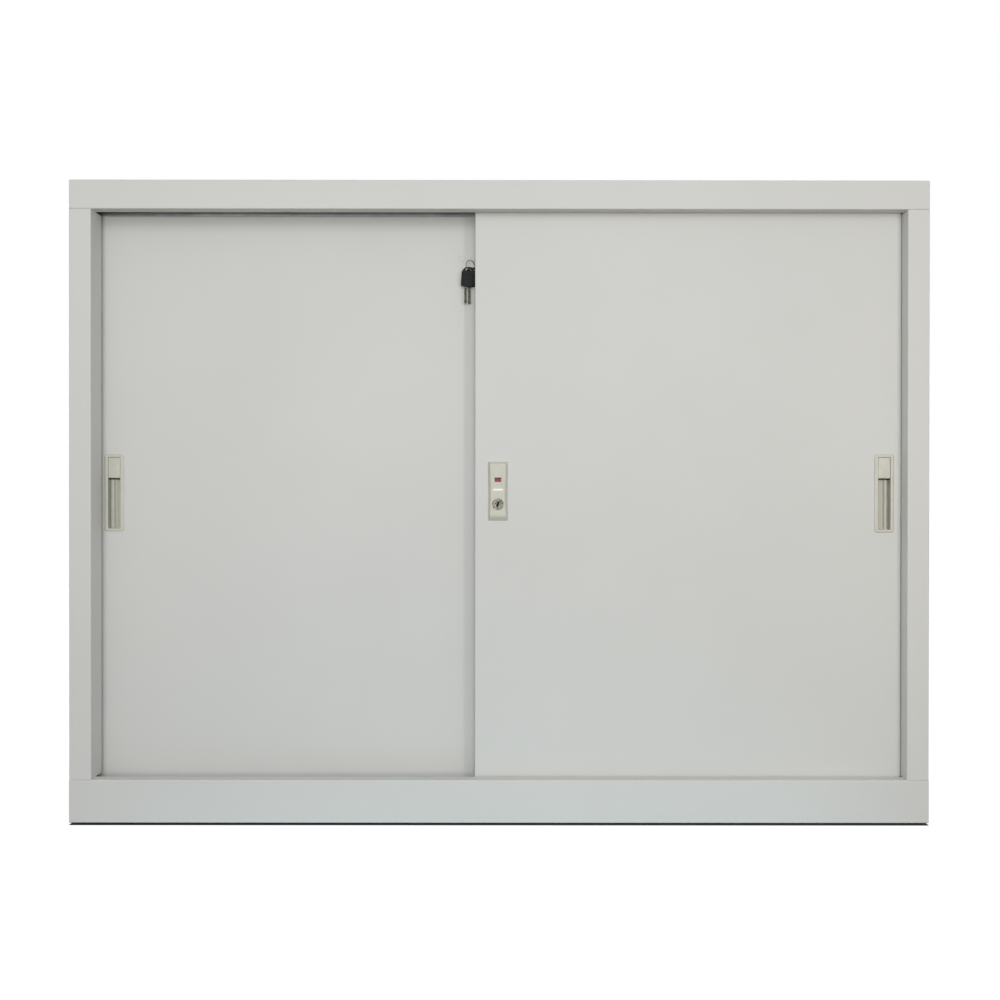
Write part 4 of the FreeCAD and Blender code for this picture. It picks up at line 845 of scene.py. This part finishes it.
def ring_wire(s):
    """Drawn spring wire, dark nickel with hair lines."""
    lines = s.noise(0.0006)
    return {"Base Color": tone(118, 119, 118), "Metallic": 1.0, "Roughness": lines * 0.15 + 0.12}


FILM_TINT = (0.84, 0.81, 0.66, 1.0)


def clear_film(s):
    """Clear adhesive film: nearly invisible, with bumpy creases that catch the light and painted glints
    where they are more opaque.
    """
    creases = s.noise(0.004, stretch=(1, 1, 0.3))
    return {
        "Base Color": FILM_TINT,
        "Roughness": creases * 0.12 + 0.12,
        # Painted glints: the creases are more opaque than the rest of the film.
        "Alpha": creases.between(0.55, 0.75) * 0.14 + 0.03,
        "Normal": s.bump(creases, 0.0006),
    }


black = material("black_plastic", black_plastic)
key_metal = material("nickel_silver", nickel_silver)
wire = material("ring_wire", ring_wire)
film = material("clear_film", clear_film)
dress(film, "key_tape")
HEAD_SHARP = 14  # the higher, the sharper the corners
FOOT_SHARP = 42
EYE_SHARP = 4
HEAD_POINTS = 288
HEAD_EDGE = 0.0006
HEAD_SHOULDER = 0.005
HEAD_LEAN = 0.002
EYE_HALF = (0.0037, 0.0019)
EYE_RISE = 0.0035  # middle of the eye under the top of the head
EYE_EDGE = 0.0009
PANEL_HALF = 0.0062  # half width of the raised panel for the thumb
PANEL_TOP = 0.0063  # its upper edge under the middle of the eye
PANEL_PROUD = 0.0003
PANEL_SLOPE = 0.0004
BROW_SLOPE = 0.06  # the face falls away from the panel towards the sides
FOOT_LONG = 0.0008  # the panel runs this far past the head's lower edge


def polygon_radius(angle, normals, distances, sharp):
    """Distance from a point to a polygon with rounded corners, in each direction.

    One side alone gives its distance over the cosine of the angle to its normal. The sides are
    put together as a power mean, which rounds the corners."""
    facing = np.maximum(np.cos(angle[:, None] - normals), 0) / distances
    return (facing**sharp).sum(axis=1) ** (-1 / sharp)


def key_head(number):
    """Rows of points go from the outer outline to the eye on the front, and back on the rear.

    The outline is the further out of two polygons: the head, and the panel's foot. Both edges are
    quarter circles. The face is level on the panel and falls away evenly beside it."""
    low, high = corners_of(f"key_{number}_head")
    half = (high - low) / 2
    x = (low + high)[0] / 2
    middle_y = (low + high)[1] / 2
    eye_z = high[2] - EYE_RISE
    angle = np.linspace(0, 2 * math.pi, HEAD_POINTS, endpoint=False)
    lean = math.atan2(HEAD_LEAN, high[2] - low[2])
    slope = math.pi / 4
    shoulder = (half[0] - HEAD_LEAN) * math.cos(slope) + (EYE_RISE - HEAD_SHOULDER) * math.sin(slope)
    normals = np.array([lean, math.pi - lean, math.pi / 2, -math.pi / 2, slope, math.pi - slope])
    side = half[0] - HEAD_LEAN * (eye_z - low[2]) / (high[2] - low[2])
    under = eye_z - low[2]
    distances = np.array([side, side, EYE_RISE, under - FOOT_LONG, shoulder, shoulder])
    outer = polygon_radius(angle, normals, distances, HEAD_SHARP)
    square = np.arange(4) * math.pi / 2
    foot = np.array([PANEL_HALF, EYE_HALF[1], PANEL_HALF, under])
    outer = np.maximum(outer, polygon_radius(angle, square, foot, FOOT_SHARP))
    eye = polygon_radius(angle, square, np.array([*EYE_HALF, *EYE_HALF]), EYE_SHARP)
    turn = np.linspace(0, math.pi / 2, 6)[:, None]
    outside = outer - HEAD_EDGE * (1 - np.cos(turn))
    inside = eye + EYE_EDGE * (1 - np.cos(turn[::-1]))
    share = np.linspace(0, 1, 48)[1:-1, None]
    across = (outer - HEAD_EDGE) * (1 - share) + (eye + EYE_EDGE) * share
    radius = np.concatenate([outside, across, inside])
    edge = np.concatenate([HEAD_EDGE * (1 - np.sin(turn)), 0 * share, EYE_EDGE * (1 - np.sin(turn[::-1]))])
    along_x = radius * np.cos(angle)
    along_z = radius * np.sin(angle)
    aside = abs(along_x) - PANEL_HALF
    off_panel = smooth(np.maximum(aside, along_z + PANEL_TOP) / PANEL_SLOPE + 1)
    fall = PANEL_PROUD * off_panel + BROW_SLOPE * np.maximum(aside, 0)
    level = half[1] - edge - fall
    front = grid(x + along_x, middle_y - level, eye_z + along_z)
    rear = grid(x + along_x, middle_y + level, eye_z + along_z)
    surface = lattice(np.concatenate([front, rear[::-1]]), (True, True))
    piece(f"key_{number}_grip", f"key_{number}", "black_plastic", black, f"key_{number}_head", surface)


BLADE_CORE = 0.0009  # half the width of the blade at its deepest cuts
BLADE_CUT = 0.0009
BLADE_TIP = 0.0018  # half the width of the round tip
BLADE_CORNER = 0.25  # height of the bevel along its edges, as a share of half its thickness
CORNER_SLANT = 0.6  # width of that bevel over its height
TIP_LENGTH = 0.0042
TIP_CLOSED = 0.98  # under 1, so that the tip ends in a small flat
CUT_PITCH = 0.0034
CUT_STEEP = 2.5  # the higher, the steeper the flanks of the cuts
BLADE_GROOVE = 0.00025
GROOVE_SHARE = 0.3  # these two are shares of the blade's width
GROOVE_SLOPE = 0.12
TANG_INSIDE = 0.006  # the blade reaches this far up into the head


def key_blade(number, first_cut):
    """Loops round the blade's section, drawn down its length.

    Half its width is a core plus a wave for the cuts, whose flanks are steeper than a sine's, and
    near the end it swells to a tip that closes as half an ellipse. A groove runs down both flats.
    The second half of each loop is the first after half a turn."""
    low, high = corners_of(f"key_{number}_blade")
    head_z = corners_of(f"key_{number}_head")[0][2]
    middle = (low + high) / 2
    thick = (high[1] - low[1]) / 2
    tang = np.linspace(-TANG_INSIDE, 0, 4)[:-1]
    down = np.concatenate([tang, np.linspace(0, head_z - low[2], 110)])[:, None]
    left = head_z - low[2] - down
    wave = np.sin((down + first_cut) / CUT_PITCH * 2 * math.pi)
    cuts = BLADE_CUT * (0.5 + 0.5 * np.tanh(CUT_STEEP * wave) / math.tanh(CUT_STEEP))
    swell = smooth(1 - abs(left - TIP_LENGTH / 2) / TIP_LENGTH)
    width = (BLADE_CORE + cuts) * (1 - swell) + BLADE_TIP * swell
    close = np.clip(1 - left / (TIP_LENGTH / 2), 0, 1)
    width = width * np.sqrt(1 - TIP_CLOSED * close**2)
    corner = thick * BLADE_CORNER
    groove = GROOVE_SHARE + GROOVE_SLOPE
    share = np.array([-1, -groove, -GROOVE_SHARE, GROOVE_SHARE, groove, 1, 1, 1])
    inset = np.array([1, 0, 0, 0, 0, 1, 0, 0] * 2) * corner * CORNER_SLANT
    y = np.array([0, 0, BLADE_GROOVE, BLADE_GROOVE, 0, 0, corner, 2 * thick - corner]) - thick
    x = np.concatenate([share, -share]) * (width - inset)
    y = np.concatenate([y, -y])
    loops = grid(middle[0] + x, middle[1] + y, head_z - down)
    surface = lattice(closed(loops), (False, True))
    piece(f"key_{number}_shank", f"key_{number}", "key_metal", key_metal, f"key_{number}_blade", surface)


for number in (1, 2):
    key_head(number)
    key_blade(number, CUT_PITCH * number / 3)
dress(wire, "key_ring")


# ---- studio ----
# A wide pale floor lies in a white room. Two soft boxes stand left and right of the camera, a large
# one behind it, and a cool one hangs above it. To the camera, floor and room are plain white, except
# for painted shade on the floor under the cabinet.
FLOOR_SIZE = 24.0
FLOOR_COOL = (0.44, 0.61, 0.68, 1.0)  # these three are the floor's colours for bounced light
FLOOR_WARM = (0.18, 0.13, 0.08, 1.0)
FLOOR_PALE = (0.82, 0.82, 0.81, 1.0)
COOL_REACH = (0.40, 0.80)  # distance from the middle over which the cool floor goes over to the warm
WARM_REACH = (1.8, 4.0)  # and the warm floor to the pale
FLOOR_SEEN = (0.80, 0.80, 0.80, 1.0)
# painted shade on the floor under the cabinet, as the camera sees it
FLOOR_PAINTED_SHADE = (0.12, 0.12, 0.12, 1.0)
FLOOR_LIFT = 0.62  # not under the cabinet
UNDER_EDGE = 0.001
ROOM_LOW = 0.47
ROOM_FRONT = 0.40  # added in a band round the room on the camera's side
BAND_MIDDLE = 0.12  # this and the next two are parts of a direction of length 1
BAND_HALF = 0.42
BAND_START = 0.1
BOX_SIZE = 0.18
SOFT_BOXES = (  # name, place, degrees down, size, power and colour
    ("left_soft_box", (-0.60, -1.60, 0.62), 0.0, BOX_SIZE, 3.0, (0.96, 1.0, 1.06)),
    ("right_soft_box", (0.90, -1.60, 0.66), 0.0, BOX_SIZE, 4.4, (1.0, 0.98, 0.95)),
    ("rear_soft_box", (0.0, -3.0, 0.40), 0.0, 0.9, 13.0, (1.0, 1.0, 1.0)),
    ("high_soft_box", (0.0, -2.2, 1.35), 22.0, 0.7, 9.0, (0.90, 0.98, 1.02)),
)


def floor_sheet():
    """A flat square grid at the height of the feet."""
    side = np.linspace(-FLOOR_SIZE / 2, FLOOR_SIZE / 2, 3)
    points, faces = lattice(grid(side[:, None], side[None, :], 0.0))
    mesh = bpy.data.meshes.new("floor")
    mesh.from_pydata(points.tolist(), [], faces.tolist())
    return mesh


def seen_white(s):
    """One for rays from the camera and for those in metal and clear pieces, none for plain light."""
    ways = [s.node("LightPath", out=f"Is {way} Ray") for way in ("Camera", "Glossy", "Transmission")]
    return s.math("MAXIMUM", s.math("MAXIMUM", ways[0], ways[1]), ways[2])


floor_object = bpy.data.objects.new("studio_floor", floor_sheet())
bpy.context.scene.collection.objects.link(floor_object)

floor_material = bpy.data.materials.new("studio_floor")
start = empty_tree(floor_material)
away = start.node("VectorMath", {"operation": "LENGTH"}, {0: start.place()}, out="Value")
ground = away.between(*COOL_REACH).blend(FLOOR_COOL, FLOOR_WARM)
ground = away.between(*WARM_REACH).blend(ground, FLOOR_PALE)
bounce = start.node("BsdfDiffuse", inputs={"Color": ground})
beyond = []
for axis, reach in enumerate(abs(corners_of("sill_rail")[0][:2]).tolist()):
    beyond.append(start.math("ABSOLUTE", start.along(axis)).between(reach, reach + UNDER_EDGE))
# Under the cabinet the camera sees painted shade: a dark floor without the lift.
under = (1 - beyond[0]) * (1 - beyond[1])
plain = start.node("BsdfDiffuse", inputs={"Color": under.blend(FLOOR_SEEN, FLOOR_PAINTED_SHADE)})
lift = start.node("Emission", inputs={"Color": (1, 1, 1, 1), "Strength": (1 - under) * FLOOR_LIFT})
bright = start.node("AddShader", inputs={0: plain, 1: lift})
shown = start.node("MixShader", inputs={0: seen_white(start), 1: bounce, 2: bright})
start.node("OutputMaterial", inputs={"Surface": shown})
floor_object.data.materials.append(floor_material)

world = bpy.data.worlds.new("room")
start = empty_tree(world)
seen = seen_white(start)
direction = start.node("TexCoord", out="Generated")
height = start.node("SeparateXYZ", inputs={0: direction}, out="Z")
towards = 0 - start.node("SeparateXYZ", inputs={0: direction}, out="Y")
band = 1 - start.math("ABSOLUTE", height - BAND_MIDDLE).between(0.0, BAND_HALF)
glow = band * towards.between(BAND_START, 1.0) * ROOM_FRONT + ROOM_LOW
room = start.node("Background", inputs={"Color": (1, 1, 1, 1), "Strength": seen * (1 - glow) + glow})
start.node("OutputWorld", inputs={"Surface": room})
bpy.context.scene.world = world


def soft_box(name, place, down, size, power, colour):
    """A square soft lamp that faces the cabinet's front, tilted down by some degrees."""
    light = bpy.data.lights.new(name, "AREA")
    light.shape = "SQUARE"
    light.size = size
    light.energy = power
    light.color = colour
    made = bpy.data.objects.new(name, light)
    made.location = place
    made.rotation_euler = (math.radians(90 - down), 0, 0)
    bpy.context.scene.collection.objects.link(made)


for box_values in SOFT_BOXES:
    soft_box(*box_values)

bpy.context.scene.view_settings.view_transform = "Standard"
